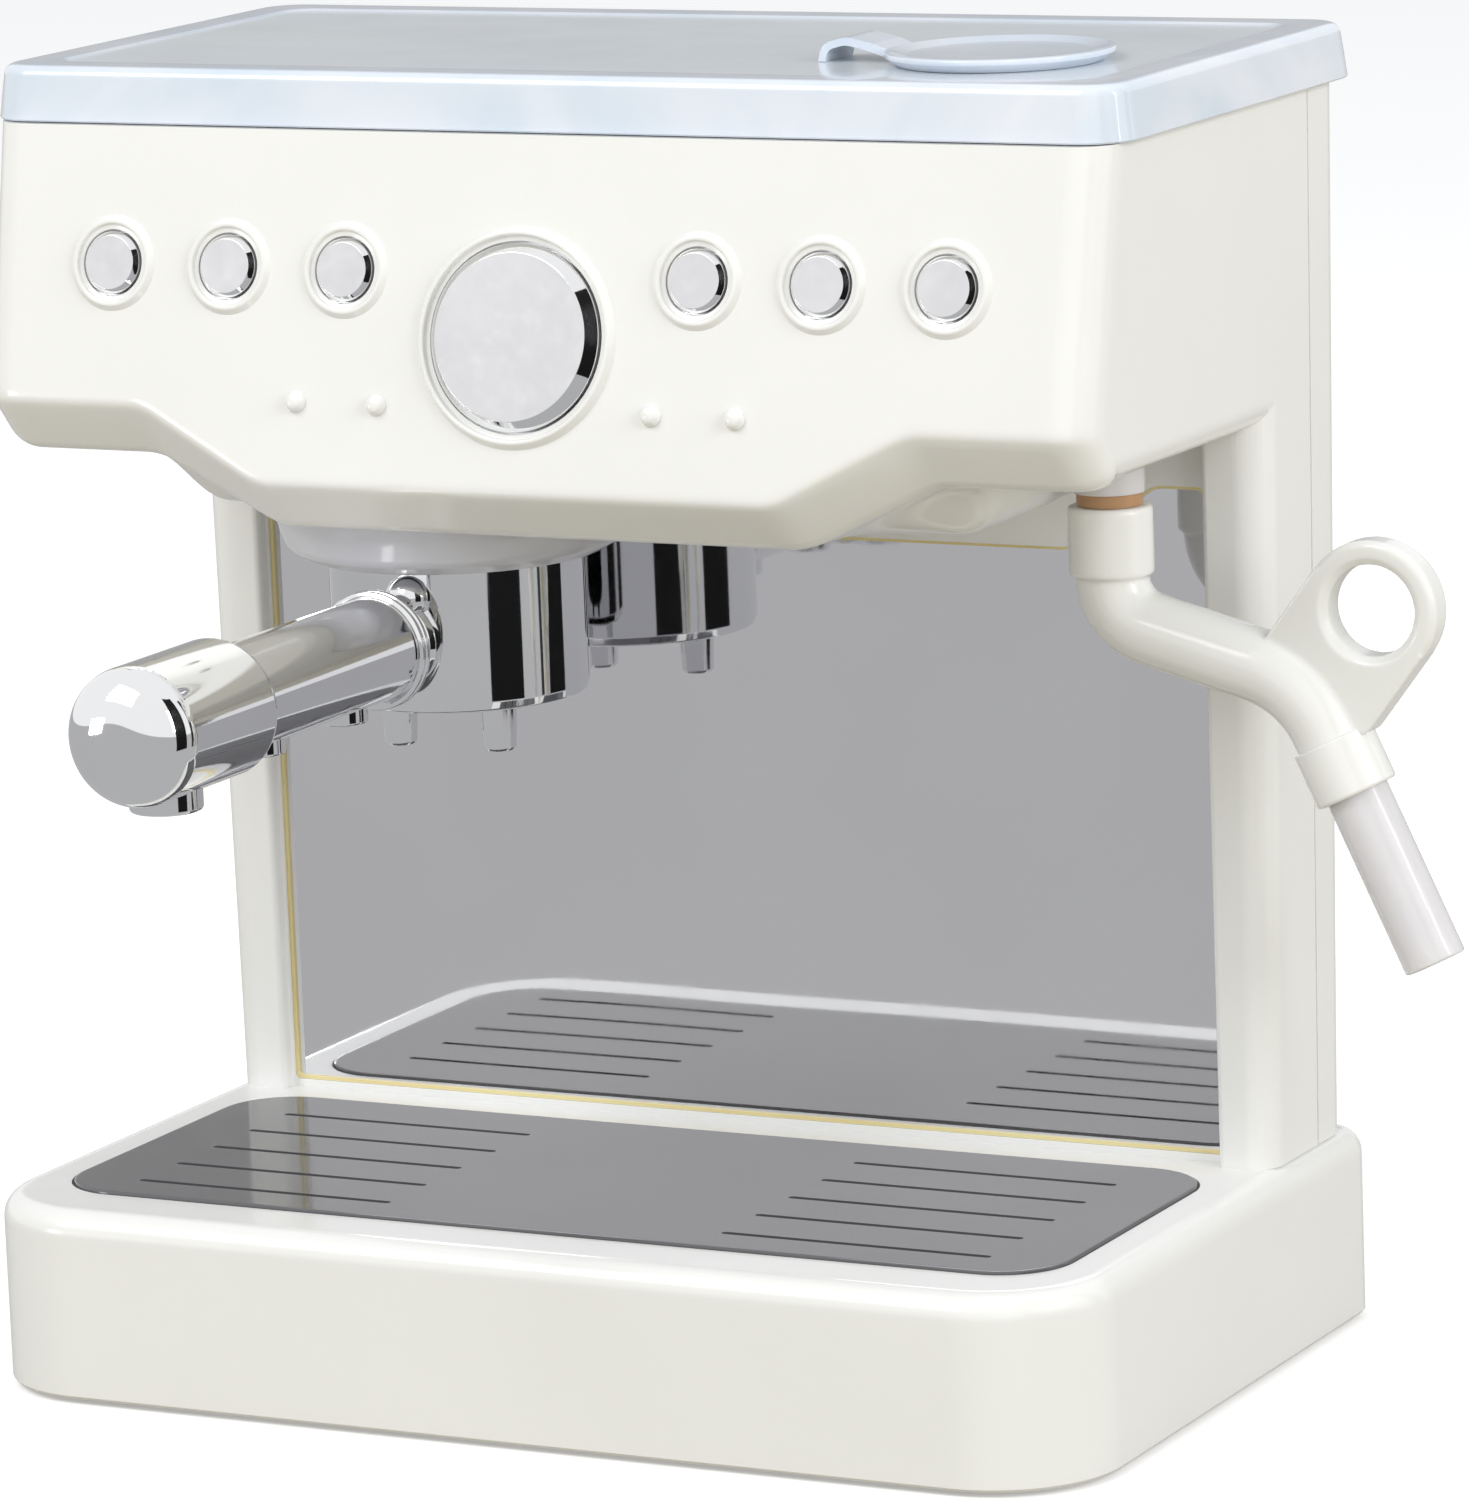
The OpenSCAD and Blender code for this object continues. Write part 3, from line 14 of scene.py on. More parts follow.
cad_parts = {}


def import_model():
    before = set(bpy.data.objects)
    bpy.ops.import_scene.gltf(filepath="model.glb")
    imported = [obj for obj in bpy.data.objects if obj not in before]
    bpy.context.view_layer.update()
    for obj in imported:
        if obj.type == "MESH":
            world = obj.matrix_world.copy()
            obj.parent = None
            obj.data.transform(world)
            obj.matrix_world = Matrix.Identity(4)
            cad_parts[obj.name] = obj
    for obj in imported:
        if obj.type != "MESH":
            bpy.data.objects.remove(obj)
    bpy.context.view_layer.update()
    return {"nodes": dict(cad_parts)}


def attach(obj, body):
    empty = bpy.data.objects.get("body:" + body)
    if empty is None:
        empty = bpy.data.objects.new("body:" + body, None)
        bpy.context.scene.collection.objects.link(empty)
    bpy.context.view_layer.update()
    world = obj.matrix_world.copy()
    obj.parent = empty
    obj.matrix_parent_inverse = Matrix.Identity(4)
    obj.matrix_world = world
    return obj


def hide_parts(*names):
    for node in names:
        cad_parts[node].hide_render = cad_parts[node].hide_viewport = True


log = logging.getLogger("espresso_machine")
MM = 0.001
QUARTER = Matrix.Rotation(math.radians(90), 4, "X")  # turns +Z to -Y
Corner = tuple[float, float, float]


class Body(str, Enum):
    """The moving bodies that pieces ride on."""

    HOUSING = "housing"
    TRAY = "drip_tray"
    LID = "lid"
    CAP = "filler_cap"
    HANDLE = "portafilter"
    WAND = "steam_wand"
    BREW = "brew_key"


class Slot(str, Enum):
    """The record's material slots."""

    IVORY = "ivory_plastic"
    PEARL = "pearl_plastic"
    TANK = "tank_plastic"
    CHROME = "chrome_plating"
    PLATE = "plate_plastic"
    MIRROR = "mirror_sheet"
    CLEAR = "clear_plastic"
    SEAL = "seal_rubber"
    FOOT = "foot_rubber"
    STEEL = "screw_steel"
    CELL = "cell_jacket"
    CONTACT = "contact_steel"
    BOARD = "board"
    MOTOR = "motor_plastic"
    HOSE = "hose_rubber"


# ---------------------------------------------------------------- nodes


def plug(node: bpy.types.Node, inputs: dict[str | int, object]) -> bpy.types.Node:
    """Sets or links inputs of a node.

    Args:
        node: The node.
        inputs: A value, or another node's output, for each input by its name or number.

    Returns:
        The node.
    """
    for name, value in inputs.items():
        if isinstance(value, bpy.types.NodeSocket):
            node.id_data.links.new(value, node.inputs[name])
        else:
            node.inputs[name].default_value = value
    return node


def add_node(tree: bpy.types.NodeTree, kind: str, inputs: dict[str | int, object] | None = None) -> bpy.types.Node:
    """Adds a node to a tree, with values or links for its inputs."""
    return plug(tree.nodes.new(kind), inputs or {})


def either(tree: bpy.types.NodeTree, first: bpy.types.NodeSocket, second: bpy.types.NodeSocket) -> bpy.types.NodeSocket:
    """The larger of two values, which is 1 where either ray flag is.

    Args:
        tree: The node tree.
        first: One flag.
        second: The other flag.

    Returns:
        The result's socket.
    """
    node = add_node(tree, "ShaderNodeMath", {0: first, 1: second})
    node.operation = "MAXIMUM"
    return node.outputs[0]


def evaluated(piece: bpy.types.Object) -> bpy.types.Mesh:
    """The piece's mesh with its modifiers applied, as a new mesh."""
    graph = bpy.context.evaluated_depsgraph_get()
    return bpy.data.meshes.new_from_object(piece.evaluated_get(graph))


# ---------------------------------------------------------------- finishes


@dataclass(frozen=True)
class Finish:
    """A procedural finish built on the Principled shader."""

    slot: Slot
    colour: tuple[float, float, float]
    tone: tuple[float, float, float]
    name: str = ""
    patch: float = 18.0
    warp: float = 0.0
    rough: tuple[float, float] = (0.25, 0.32)
    metal: float = 0.0
    coat: float = 0.0
    clear: float = 0.0
    depth: float = 0.0
    ior: float = 1.5
    grain: float = 900.0
    grain_lift: float = 0.02
    wave: float = 14.0
    wave_lift: float = 0.0

    def material(self) -> bpy.types.Material:
        """Builds the material.

        Returns:
            The finished node material.
        """
        made = bpy.data.materials.new(self.name or self.slot.value)
        made.use_nodes = True
        tree = made.node_tree
        shader = tree.nodes["Principled BSDF"]
        place = tree.nodes.new("ShaderNodeTexCoord").outputs["Object"]

        def noise(scale: float, detail: float, warp: float = 0.0) -> bpy.types.NodeSocket:
            """A noise texture on object coordinates."""
            return add_node(tree, "ShaderNodeTexNoise", {"Scale": scale, "Detail": detail, "Distortion": warp,
                                                         "Vector": place}).outputs["Fac"]

        def bump(lift: float, height: bpy.types.NodeSocket) -> bpy.types.Node:
            """Relief of a given height in millimetres."""
            return add_node(tree, "ShaderNodeBump", {"Strength": 1.0, "Distance": lift * MM, "Height": height})

        ramp = add_node(tree, "ShaderNodeValToRGB", {"Fac": noise(self.patch, 3.0, self.warp)})
        for stop, position, colour in zip(ramp.color_ramp.elements, (0.36, 0.64), (self.colour, self.tone)):
            stop.position = position
            stop.color = (*colour, 1.0)
        spread = add_node(tree, "ShaderNodeMapRange", {"From Min": 0.3, "From Max": 0.7, "To Min": self.rough[0],
                                                       "To Max": self.rough[1], "Value": noise(self.patch * 6.0, 4.0)})
        fine = bump(self.grain_lift, noise(self.grain, 2.0))
        if self.wave_lift > 0.0:
            plug(fine, {"Normal": bump(self.wave_lift, noise(self.wave, 1.0)).outputs["Normal"]})
        plug(shader, {"Base Color": ramp.outputs["Color"], "Roughness": spread.outputs["Result"],
                      "Normal": fine.outputs["Normal"], "Metallic": self.metal, "IOR": self.ior,
                      "Coat Weight": self.coat, "Coat Roughness": 0.05, "Transmission Weight": self.clear})
        if self.depth > 0.0:
            plug(shader, {"Subsurface Weight": self.depth, "Subsurface Scale": 0.004,
                          "Subsurface Radius": (1.0, 0.9, 0.75)})
        return made


FINISHES: tuple[Finish, ...] = (
    Finish(Slot.IVORY, (0.83, 0.832, 0.818), (0.815, 0.817, 0.80), rough=(0.16, 0.22), coat=0.25, grain_lift=0.006,
           wave=9.0, wave_lift=0.06),
    Finish(Slot.PEARL, (0.62, 0.70, 0.80), (0.76, 0.79, 0.86), patch=11.0, warp=2.2, rough=(0.1, 0.18), coat=0.4,
           grain_lift=0.004, wave=7.0, wave_lift=0.08),
    Finish(Slot.TANK, (0.74, 0.80, 0.86), (0.80, 0.84, 0.88), clear=0.35, rough=(0.2, 0.3)),
    Finish(Slot.CHROME, (0.84, 0.845, 0.855), (0.80, 0.805, 0.82), metal=1.0, rough=(0.03, 0.06), grain_lift=0.001,
           wave=26.0, wave_lift=0.05),
    Finish(Slot.PLATE, (0.115, 0.115, 0.121), (0.10, 0.10, 0.106), rough=(0.09, 0.14), coat=0.15, grain_lift=0.004,
           wave=8.0, wave_lift=0.05),
    Finish(Slot.MIRROR, (0.80, 0.80, 0.82), (0.78, 0.78, 0.80), metal=1.0, rough=(0.02, 0.045), grain_lift=0.0005,
           wave=11.0, wave_lift=0.16),
    Finish(Slot.CLEAR, (0.93, 0.92, 0.94), (0.90, 0.89, 0.92), clear=0.85, rough=(0.06, 0.12), ior=1.46),
    Finish(Slot.SEAL, (0.47, 0.27, 0.14), (0.41, 0.22, 0.11), rough=(0.3, 0.4), depth=0.2),
    Finish(Slot.FOOT, (0.03, 0.03, 0.032), (0.045, 0.045, 0.047), rough=(0.6, 0.75), grain=1600.0, grain_lift=0.05),
    Finish(Slot.STEEL, (0.55, 0.56, 0.58), (0.48, 0.49, 0.51), metal=1.0, rough=(0.22, 0.34)),
    Finish(Slot.CELL, (0.10, 0.26, 0.13), (0.08, 0.22, 0.11), rough=(0.28, 0.36), coat=0.3),
    Finish(Slot.CONTACT, (0.66, 0.66, 0.64), (0.58, 0.58, 0.57), metal=1.0, rough=(0.2, 0.3)),
    Finish(Slot.BOARD, (0.03, 0.16, 0.08), (0.02, 0.12, 0.06), rough=(0.3, 0.42), patch=120.0),
    Finish(Slot.MOTOR, (0.42, 0.43, 0.45), (0.36, 0.37, 0.39), rough=(0.35, 0.45)),
    Finish(Slot.HOSE, (0.62, 0.66, 0.70), (0.56, 0.60, 0.65), clear=0.3, rough=(0.3, 0.4)),
)
LID_PANEL = Finish(Slot.PEARL, (0.70, 0.75, 0.80), (0.74, 0.79, 0.83), "lid_panel_pearl", patch=6.0, warp=0.8,
                   rough=(0.14, 0.2), coat=0.2, grain_lift=0.004, wave=6.0, wave_lift=0.04)
# Plating of the key faces. It is rougher than the rims, which is real, and darker as painted shade, so the faces show a
# dimmer reflection than the white world gives.
KEY_FACE_PAINTED_SHADE = Finish(Slot.CHROME, (0.76, 0.76, 0.775), (0.71, 0.71, 0.725), "key_face_plating", patch=60.0, warp=0.6,
                  rough=(0.1, 0.2), metal=1.0, grain_lift=0.002, wave=60.0, wave_lift=0.05)
MILKY = Finish(Slot.CLEAR, (0.90, 0.885, 0.90), (0.86, 0.845, 0.87), "milky_tube", patch=30.0, rough=(0.12, 0.18),
               clear=0.22, depth=0.3, ior=1.46)
RING_PEARL = Finish(Slot.PEARL, (0.60, 0.61, 0.68), (0.70, 0.71, 0.78), "group_ring_pearl", patch=9.0, warp=1.6,
                    rough=(0.12, 0.2), coat=0.3, grain_lift=0.004)
DRESSED: dict[Slot, tuple[str, ...]] = {
    Slot.IVORY: ("bottom_cover", "battery_cover"),
    Slot.TANK: ("water_tank",),
    Slot.FOOT: ("rubber_feet", "speaker"),
    Slot.STEEL: ("base_screws", "battery_cover_screw", "rear_screws", "handle_screws", "wand_clip", "brew_spring",
                 *("button_spring_%d" % i for i in range(1, 7))),
    Slot.CELL: ("battery_cells",),
    Slot.CONTACT: ("battery_contacts",),
    Slot.BOARD: ("circuit_board",),
    Slot.MOTOR: ("pump",),
    Slot.HOSE: ("water_hose",),
    Slot.CLEAR: ("wand_stem",),
    Slot.SEAL: ("wand_seal",),
}
# Ochre painted shade for the thin edge in the mirror's pocket: it stands in for the shaded ledge round the mirror and
# its reflection.
POCKET_EDGE_PAINTED_SHADE = Finish(Slot.IVORY, (0.80, 0.70, 0.36), (0.74, 0.62, 0.30), "pocket_edge_painted_shade", rough=(0.3, 0.4))


# ---------------------------------------------------------------- solids in millimetres


@dataclass
class Solid:
    """A closed mesh in millimetres."""

    points: np.ndarray
    faces: list[tuple[int, ...]]

    def placed(self, matrix: Matrix) -> "Solid":
        """The same solid moved by a matrix in millimetres.

        Args:
            matrix: Turn and shift.

        Returns:
            The moved solid.
        """
        turn = np.array(matrix.to_3x3())
        shift = np.array(matrix.translation)
        return Solid(self.points @ turn.T + shift, self.faces)

    def moved(self, x: float, y: float, z: float) -> "Solid":
        """The same solid shifted."""
        return Solid(self.points + np.array([x, y, z]), self.faces)

    def with_also(self, *others: "Solid") -> "Solid":
        """This solid and others that don't touch it, as one mesh.

        Args:
            others: The other solids.

        Returns:
            All of them as one solid.
        """
        points, faces = [self.points], list(self.faces)
        count = len(self.points)
        for other in others:
            faces += [tuple(i + count for i in face) for face in other.faces]
            points.append(other.points)
            count += len(other.points)
        return Solid(np.vstack(points), faces)

    def as_object(self, name: str) -> bpy.types.Object:
        """Makes the Blender object, with its faces turned outwards.

        Args:
            name: Name of the object.

        Returns:
            The object, linked to the scene.
        """
        mesh = bpy.data.meshes.new(name)
        mesh.from_pydata((self.points * MM).tolist(), [], self.faces)
        made = bpy.data.objects.new(name, mesh)
        bpy.context.scene.collection.objects.link(made)
        work = bmesh.new()
        work.from_mesh(mesh)
        bmesh.ops.recalc_face_normals(work, faces=work.faces)
        work.to_mesh(mesh)
        work.free()
        return made


def filleted(corners: Sequence[Corner], closed: bool, steps: int = 6) -> np.ndarray:
    """Rounds the corners of a flat outline.

    Args:
        corners: Points (a, b, radius); radius 0 keeps the corner sharp.
        closed: Whether the last point joins the first.
        steps: Segments of each round.

    Returns:
        The outline's points, shape (n, 2).
    """
    out: list[np.ndarray] = []
    count = len(corners)
    for i, (a, b, radius) in enumerate(corners):
        here = np.array([a, b])
        if radius <= 0.0 or (not closed and i in (0, count - 1)):
            out.append(here)
            continue
        before = np.array(corners[i - 1][:2]) - here
        after = np.array(corners[(i + 1) % count][:2]) - here
        len_a, len_b = np.linalg.norm(before), np.linalg.norm(after)
        before, after = before / len_a, after / len_b
        half = math.acos(float(np.clip(before @ after, -1.0, 1.0))) / 2.0
        reach = min(radius / math.tan(half), 0.499 * len_a, 0.499 * len_b)
        true_radius = reach * math.tan(half)
        middle = here + (before + after) / np.linalg.norm(before + after) * (true_radius / math.sin(half))
        first, last = here + before * reach - middle, here + after * reach - middle
        turn = math.atan2(first[0] * last[1] - first[1] * last[0], float(first @ last))
        for k in range(steps + 1):
            angle = turn * k / steps
            c, s = math.cos(angle), math.sin(angle)
            out.append(middle + np.array([c * first[0] - s * first[1], s * first[0] + c * first[1]]))
    return np.array(out)


def lathe(profile: Sequence[Corner], sides: int = 96, steps: int = 6, closed: bool = False) -> Solid:
    """Turns a profile of (radius, height, fillet) about +Z.

    Args:
        profile: Corners from the low pole to the high pole, or round a closed ring.
        sides: Segments round the axis.
        steps: Segments of each fillet.
        closed: Whether the profile closes on itself and has no poles.

    Returns:
        The turned solid.
    """
    line = filleted(profile, closed, steps)
    turn = np.linspace(0.0, 2.0 * math.pi, sides, endpoint=False)
    points: list[np.ndarray] = []
    starts: list[int] = []
    count = 0
    for radius, height in line:
        starts.append(count)
        if radius < 1e-6:
            points.append(np.array([[0.0, 0.0, height]]))
            count += 1
        else:
            points.append(np.column_stack([radius * np.cos(turn), radius * np.sin(turn), np.full(sides, height)]))
            count += sides
    faces: list[tuple[int, ...]] = []
    rows = len(line)
    for i in range(rows if closed else rows - 1):
        a, b = starts[i], starts[(i + 1) % rows]
        pole_a, pole_b = line[i][0] < 1e-6, line[(i + 1) % rows][0] < 1e-6
        for j in range(sides):
            k = (j + 1) % sides
            if pole_a:
                faces.append((a, b + k, b + j))
            elif pole_b:
                faces.append((a + j, a + k, b))
            else:
                faces.append((a + j, a + k, b + k, b + j))
    return Solid(np.vstack(points), faces)


def loft(rings: Sequence[np.ndarray], closed: bool = False) -> Solid:
    """Joins outlines of equal point count into a closed skin.

    Args:
        rings: Outlines of shape (n, 3).
        closed: Whether the last outline joins the first, instead of two end caps.

    Returns:
        The lofted solid.
    """
    size = len(rings[0])
    rows = len(rings)
    faces: list[tuple[int, ...]] = []
    for i in range(rows if closed else rows - 1):
        a, b = i * size, ((i + 1) % rows) * size
        for j in range(size):
            k = (j + 1) % size
            faces.append((a + j, a + k, b + k, b + j))
    if not closed:
        faces.append(tuple(range(size - 1, -1, -1)))
        faces.append(tuple((rows - 1) * size + j for j in range(size)))
    return Solid(np.vstack(rings), faces)


def at_height(outline: np.ndarray, z: float) -> np.ndarray:
    """A flat outline as a ring at one height."""
    return np.column_stack([outline, np.full(len(outline), z)])


def at_depth(outline: np.ndarray, y: float) -> np.ndarray:
    """A flat outline, seen from the front, as a ring at one depth."""
    return np.column_stack([outline[:, 0], np.full(len(outline), y), outline[:, 1]])


def drum(radius: float, low: float, high: float, sides: int) -> Solid:
    """A sharp-edged cylinder about +Z, used to cut pieces."""
    return lathe([(0, low, 0), (radius, low, 0), (radius, high, 0), (0, high, 0)], sides)


def block_outline(w: float, low_y: float, high_y: float, front_r: float, back_r: float, steps: int = 8) -> np.ndarray:
    """A rectangle about x = 0 with its own front and back corner radii.

    Args:
        w: Width.
        low_y: Front edge.
        high_y: Back edge.
        front_r: Radius of the two front corners.
        back_r: Radius of the two back corners.
        steps: Segments of each round.

    Returns:
        The outline's points.
    """
    return filleted([(-w / 2, low_y, front_r), (w / 2, low_y, front_r), (w / 2, high_y, back_r),
                     (-w / 2, high_y, back_r)], True, steps)


def slab(outline: np.ndarray, low: float, high: float) -> Solid:
    """An upright prism of an outline."""
    return loft([at_height(outline, low), at_height(outline, high)])


def box_solid(low: Sequence[float], high: Sequence[float]) -> Solid:
    """A plain box, used to cut pieces."""
    outline = np.array([[low[0], low[1]], [high[0], low[1]], [high[0], high[1]], [low[0], high[1]]])
    return slab(outline, low[2], high[2])


def rod(start: Sequence[float], end: Sequence[float], radius: float, sides: int = 64, edge: float = 0.0) -> Solid:
    """A round bar between two points, with rounded rims.

    Args:
        start: Middle of one end.
        end: Middle of the other end.
        radius: Radius of the bar.
        sides: Segments round the axis.
        edge: Radius of the rims.

    Returns:
        The bar.
    """
    start, end = Vector(start), Vector(end)
    way = end - start
    turn = way.to_track_quat("Z", "Y").to_matrix().to_4x4()
    profile = [(0.0, 0.0, 0.0), (radius, 0.0, edge), (radius, way.length, edge), (0.0, way.length, 0.0)]
    return lathe(profile, sides).placed(Matrix.Translation(start) @ turn)


class Workpiece:
    """A mesh object that solids are joined to and cut from."""

    def __init__(self, name: str, solid: Solid) -> None:
        """Starts from one solid."""
        self.object = solid.as_object(name)

    def _combine(self, solid: Solid, operation: str) -> "Workpiece":
        """Runs one boolean and keeps its result.

        Args:
            solid: The tool.
            operation: Blender's name of the operation.

        Returns:
            This piece.
        """
        tool = solid.as_object("tool")
        for solver in ("MANIFOLD", "EXACT"):
            step = self.object.modifiers.new("combine", "BOOLEAN")
            step.operation = operation
            step.solver = solver
            step.object = tool
            mesh, old = evaluated(self.object), self.object.data
            self.object.modifiers.clear()
            same = len(mesh.vertices) == len(old.vertices) and len(mesh.polygons) == len(old.polygons)
            if len(mesh.vertices) > 0 and not same:
                break
            log.warning("%s: %s by %s changed nothing", self.object.name, operation, solver)
        self.object.data = mesh
        bpy.data.meshes.remove(old)
        bpy.data.objects.remove(tool)
        return self

    def shift(self, x: float, y: float, z: float) -> None:
        """Moves the piece by millimetres."""
        self.object.data.transform(Matrix.Translation((x * MM, y * MM, z * MM)))

    def join(self, *solids: Solid) -> "Workpiece":
        """Adds solids to the piece.

        Args:
            solids: What is added.

        Returns:
            This piece.
        """
        for solid in solids:
            self._combine(solid, "UNION")
        return self

    def cut(self, *solids: Solid) -> "Workpiece":
        """Takes solids out of the piece.

        Args:
            solids: What is taken out.

        Returns:
            This piece.
        """
        for solid in solids:
            self._combine(solid, "DIFFERENCE")
        return self

    def keep(self, solid: Solid) -> "Workpiece":
        """Keeps only what lies inside a solid."""
        return self._combine(solid, "INTERSECT")

    def soften(self, voxel: float, passes: int) -> "Workpiece":
        """Remeshes the piece finely and smooths it, so its joints get moulded fillets.

        Args:
            voxel: Voxel size in millimetres.
            passes: How often it is smoothed.

        Returns:
            This piece.
        """
        remesh = self.object.modifiers.new("remesh", "REMESH")
        remesh.mode = "VOXEL"
        remesh.voxel_size = voxel * MM
        smooth = self.object.modifiers.new("smooth", "SMOOTH")
        smooth.factor = 0.5
        smooth.iterations = passes
        mesh = evaluated(self.object)
        self.object.modifiers.clear()
        self.object.data = mesh
        return self


def solid_of(mesh: bpy.types.Mesh) -> Solid:
    """A mesh's points and faces as a solid in millimetres."""
    return Solid(np.array([v.co for v in mesh.vertices]) / MM, [tuple(p.vertices) for p in mesh.polygons])


def taken(piece: Workpiece) -> Solid:
    """Turns a workpiece back into a solid and removes its object.

    Args:
        piece: The piece, which is used up.

    Returns:
        Its solid.
    """
    solid = solid_of(piece.object.data)
    bpy.data.objects.remove(piece.object)
    return solid


class Pattern:
    """A Geometry Nodes tree that repeats the solid it is put on."""

    def __init__(self, name: str) -> None:
        """Starts an empty tree with a geometry input and output.

        Args:
            name: The tree's name.
        """
        self.tree = bpy.data.node_groups.new(name, "GeometryNodeTree")
        self.keys: dict[str, str] = {}
        self.values: dict[str, object] = {}
        self.tree.interface.new_socket("Geometry", in_out="INPUT", socket_type="NodeSocketGeometry")
        self.tree.interface.new_socket("Geometry", in_out="OUTPUT", socket_type="NodeSocketGeometry")
        self.start = self.tree.nodes.new("NodeGroupInput")

    def size(self, name: str, kind: str, value: object) -> bpy.types.NodeSocket:
        """Adds a named input of the tree.

        Args:
            name: Name of the input.
            kind: Socket type, such as Int or Vector.
            value: The modifier's value for it.

        Returns:
            The input's socket inside the tree.
        """
        socket = self.tree.interface.new_socket(name, in_out="INPUT", socket_type="NodeSocket" + kind)
        self.keys[name] = socket.identifier
        self.values[name] = value
        return self.start.outputs[name]

    def spread(self, points: bpy.types.NodeSocket, shape: bpy.types.NodeSocket) -> bpy.types.NodeSocket:
        """Puts the shape on each point and makes the copies real.

        Args:
            points: Where the copies go.
            shape: What is copied.

        Returns:
            The real copies.
        """
        copies = add_node(self.tree, "GeometryNodeInstanceOnPoints", {"Points": points, "Instance": shape})
        real = add_node(self.tree, "GeometryNodeRealizeInstances", {"Geometry": copies.outputs["Instances"]})
        return real.outputs["Geometry"]

    def finish(self, shape: bpy.types.NodeSocket) -> None:
        """Ends the tree with its material and output.

        Args:
            shape: The tree's geometry.
        """
        finish = self.size("Finish", "Material", None)
        paint = add_node(self.tree, "GeometryNodeSetMaterial", {"Geometry": shape, "Material": finish})
        add_node(self.tree, "NodeGroupOutput", {0: paint.outputs["Geometry"]})

    def apply(self, solid: Solid) -> Solid:
        """Repeats a solid by the tree and returns the plain result.

        Args:
            solid: The shape to repeat.

        Returns:
            All copies as one solid.
        """
        piece = solid.as_object(self.tree.name)
        step = piece.modifiers.new("pattern", "NODES")
        step.node_group = self.tree
        for name, value in self.values.items():
            if value is not None:
                step[self.keys[name]] = value
        mesh = evaluated(piece)
        copies = solid_of(mesh)
        bpy.data.objects.remove(piece)
        bpy.data.meshes.remove(mesh)
        return copies


@dataclass(frozen=True)
class Lattice:
    """Columns and rows of one shape, centred where the shape stands."""

    columns: int
    rows: int
    column_step: float
    row_step: float
    along: str = "XY"

    def repeat(self, solid: Solid) -> Solid:
        """Repeats a solid in the lattice.

        Args:
            solid: The shape to repeat.

        Returns:
            All copies as one solid.
        """
        pattern = Pattern("lattice")
        ways = {"X": Vector((1, 0, 0)), "XY": Vector((0, 1, 0)), "XZ": Vector((0, 0, 1))}
        first = ways["X"] * self.column_step * MM
        second = ways[self.along] * self.row_step * MM
        shape = pattern.start.outputs["Geometry"]
        for name, count, step in (("Column", self.columns, first), ("Row", self.rows, second)):
            line = add_node(pattern.tree, "GeometryNodeMeshLine", {
                "Count": pattern.size(name + " Count", "Int", count),
                "Offset": pattern.size(name + " Step", "Vector", tuple(step)),
                "Start Location": pattern.size(name + " Start", "Vector", tuple(step * (1 - count) / 2))})
            shape = pattern.spread(line.outputs["Mesh"], shape)
        pattern.finish(shape)
        return pattern.apply(solid)


@dataclass(frozen=True)
class Rosette:
    """One shape in the middle and a ring of copies round it, in the XY plane."""

    count: int
    radius: float

    def repeat(self, solid: Solid) -> Solid:
        """Repeats a solid in the rosette.

        Args:
            solid: The shape to repeat.

        Returns:
            All copies as one solid.
        """
        pattern = Pattern("rosette")
        circle = add_node(pattern.tree, "GeometryNodeMeshCircle", {
            "Vertices": pattern.size("Count", "Int", self.count),
            "Radius": pattern.size("Radius", "Float", self.radius * MM)})
        shape = pattern.start.outputs["Geometry"]
        both = add_node(pattern.tree, "GeometryNodeJoinGeometry", {"Geometry": shape})
        plug(both, {"Geometry": pattern.spread(circle.outputs["Mesh"], shape)})
        pattern.finish(both.outputs["Geometry"])
        return pattern.apply(solid)


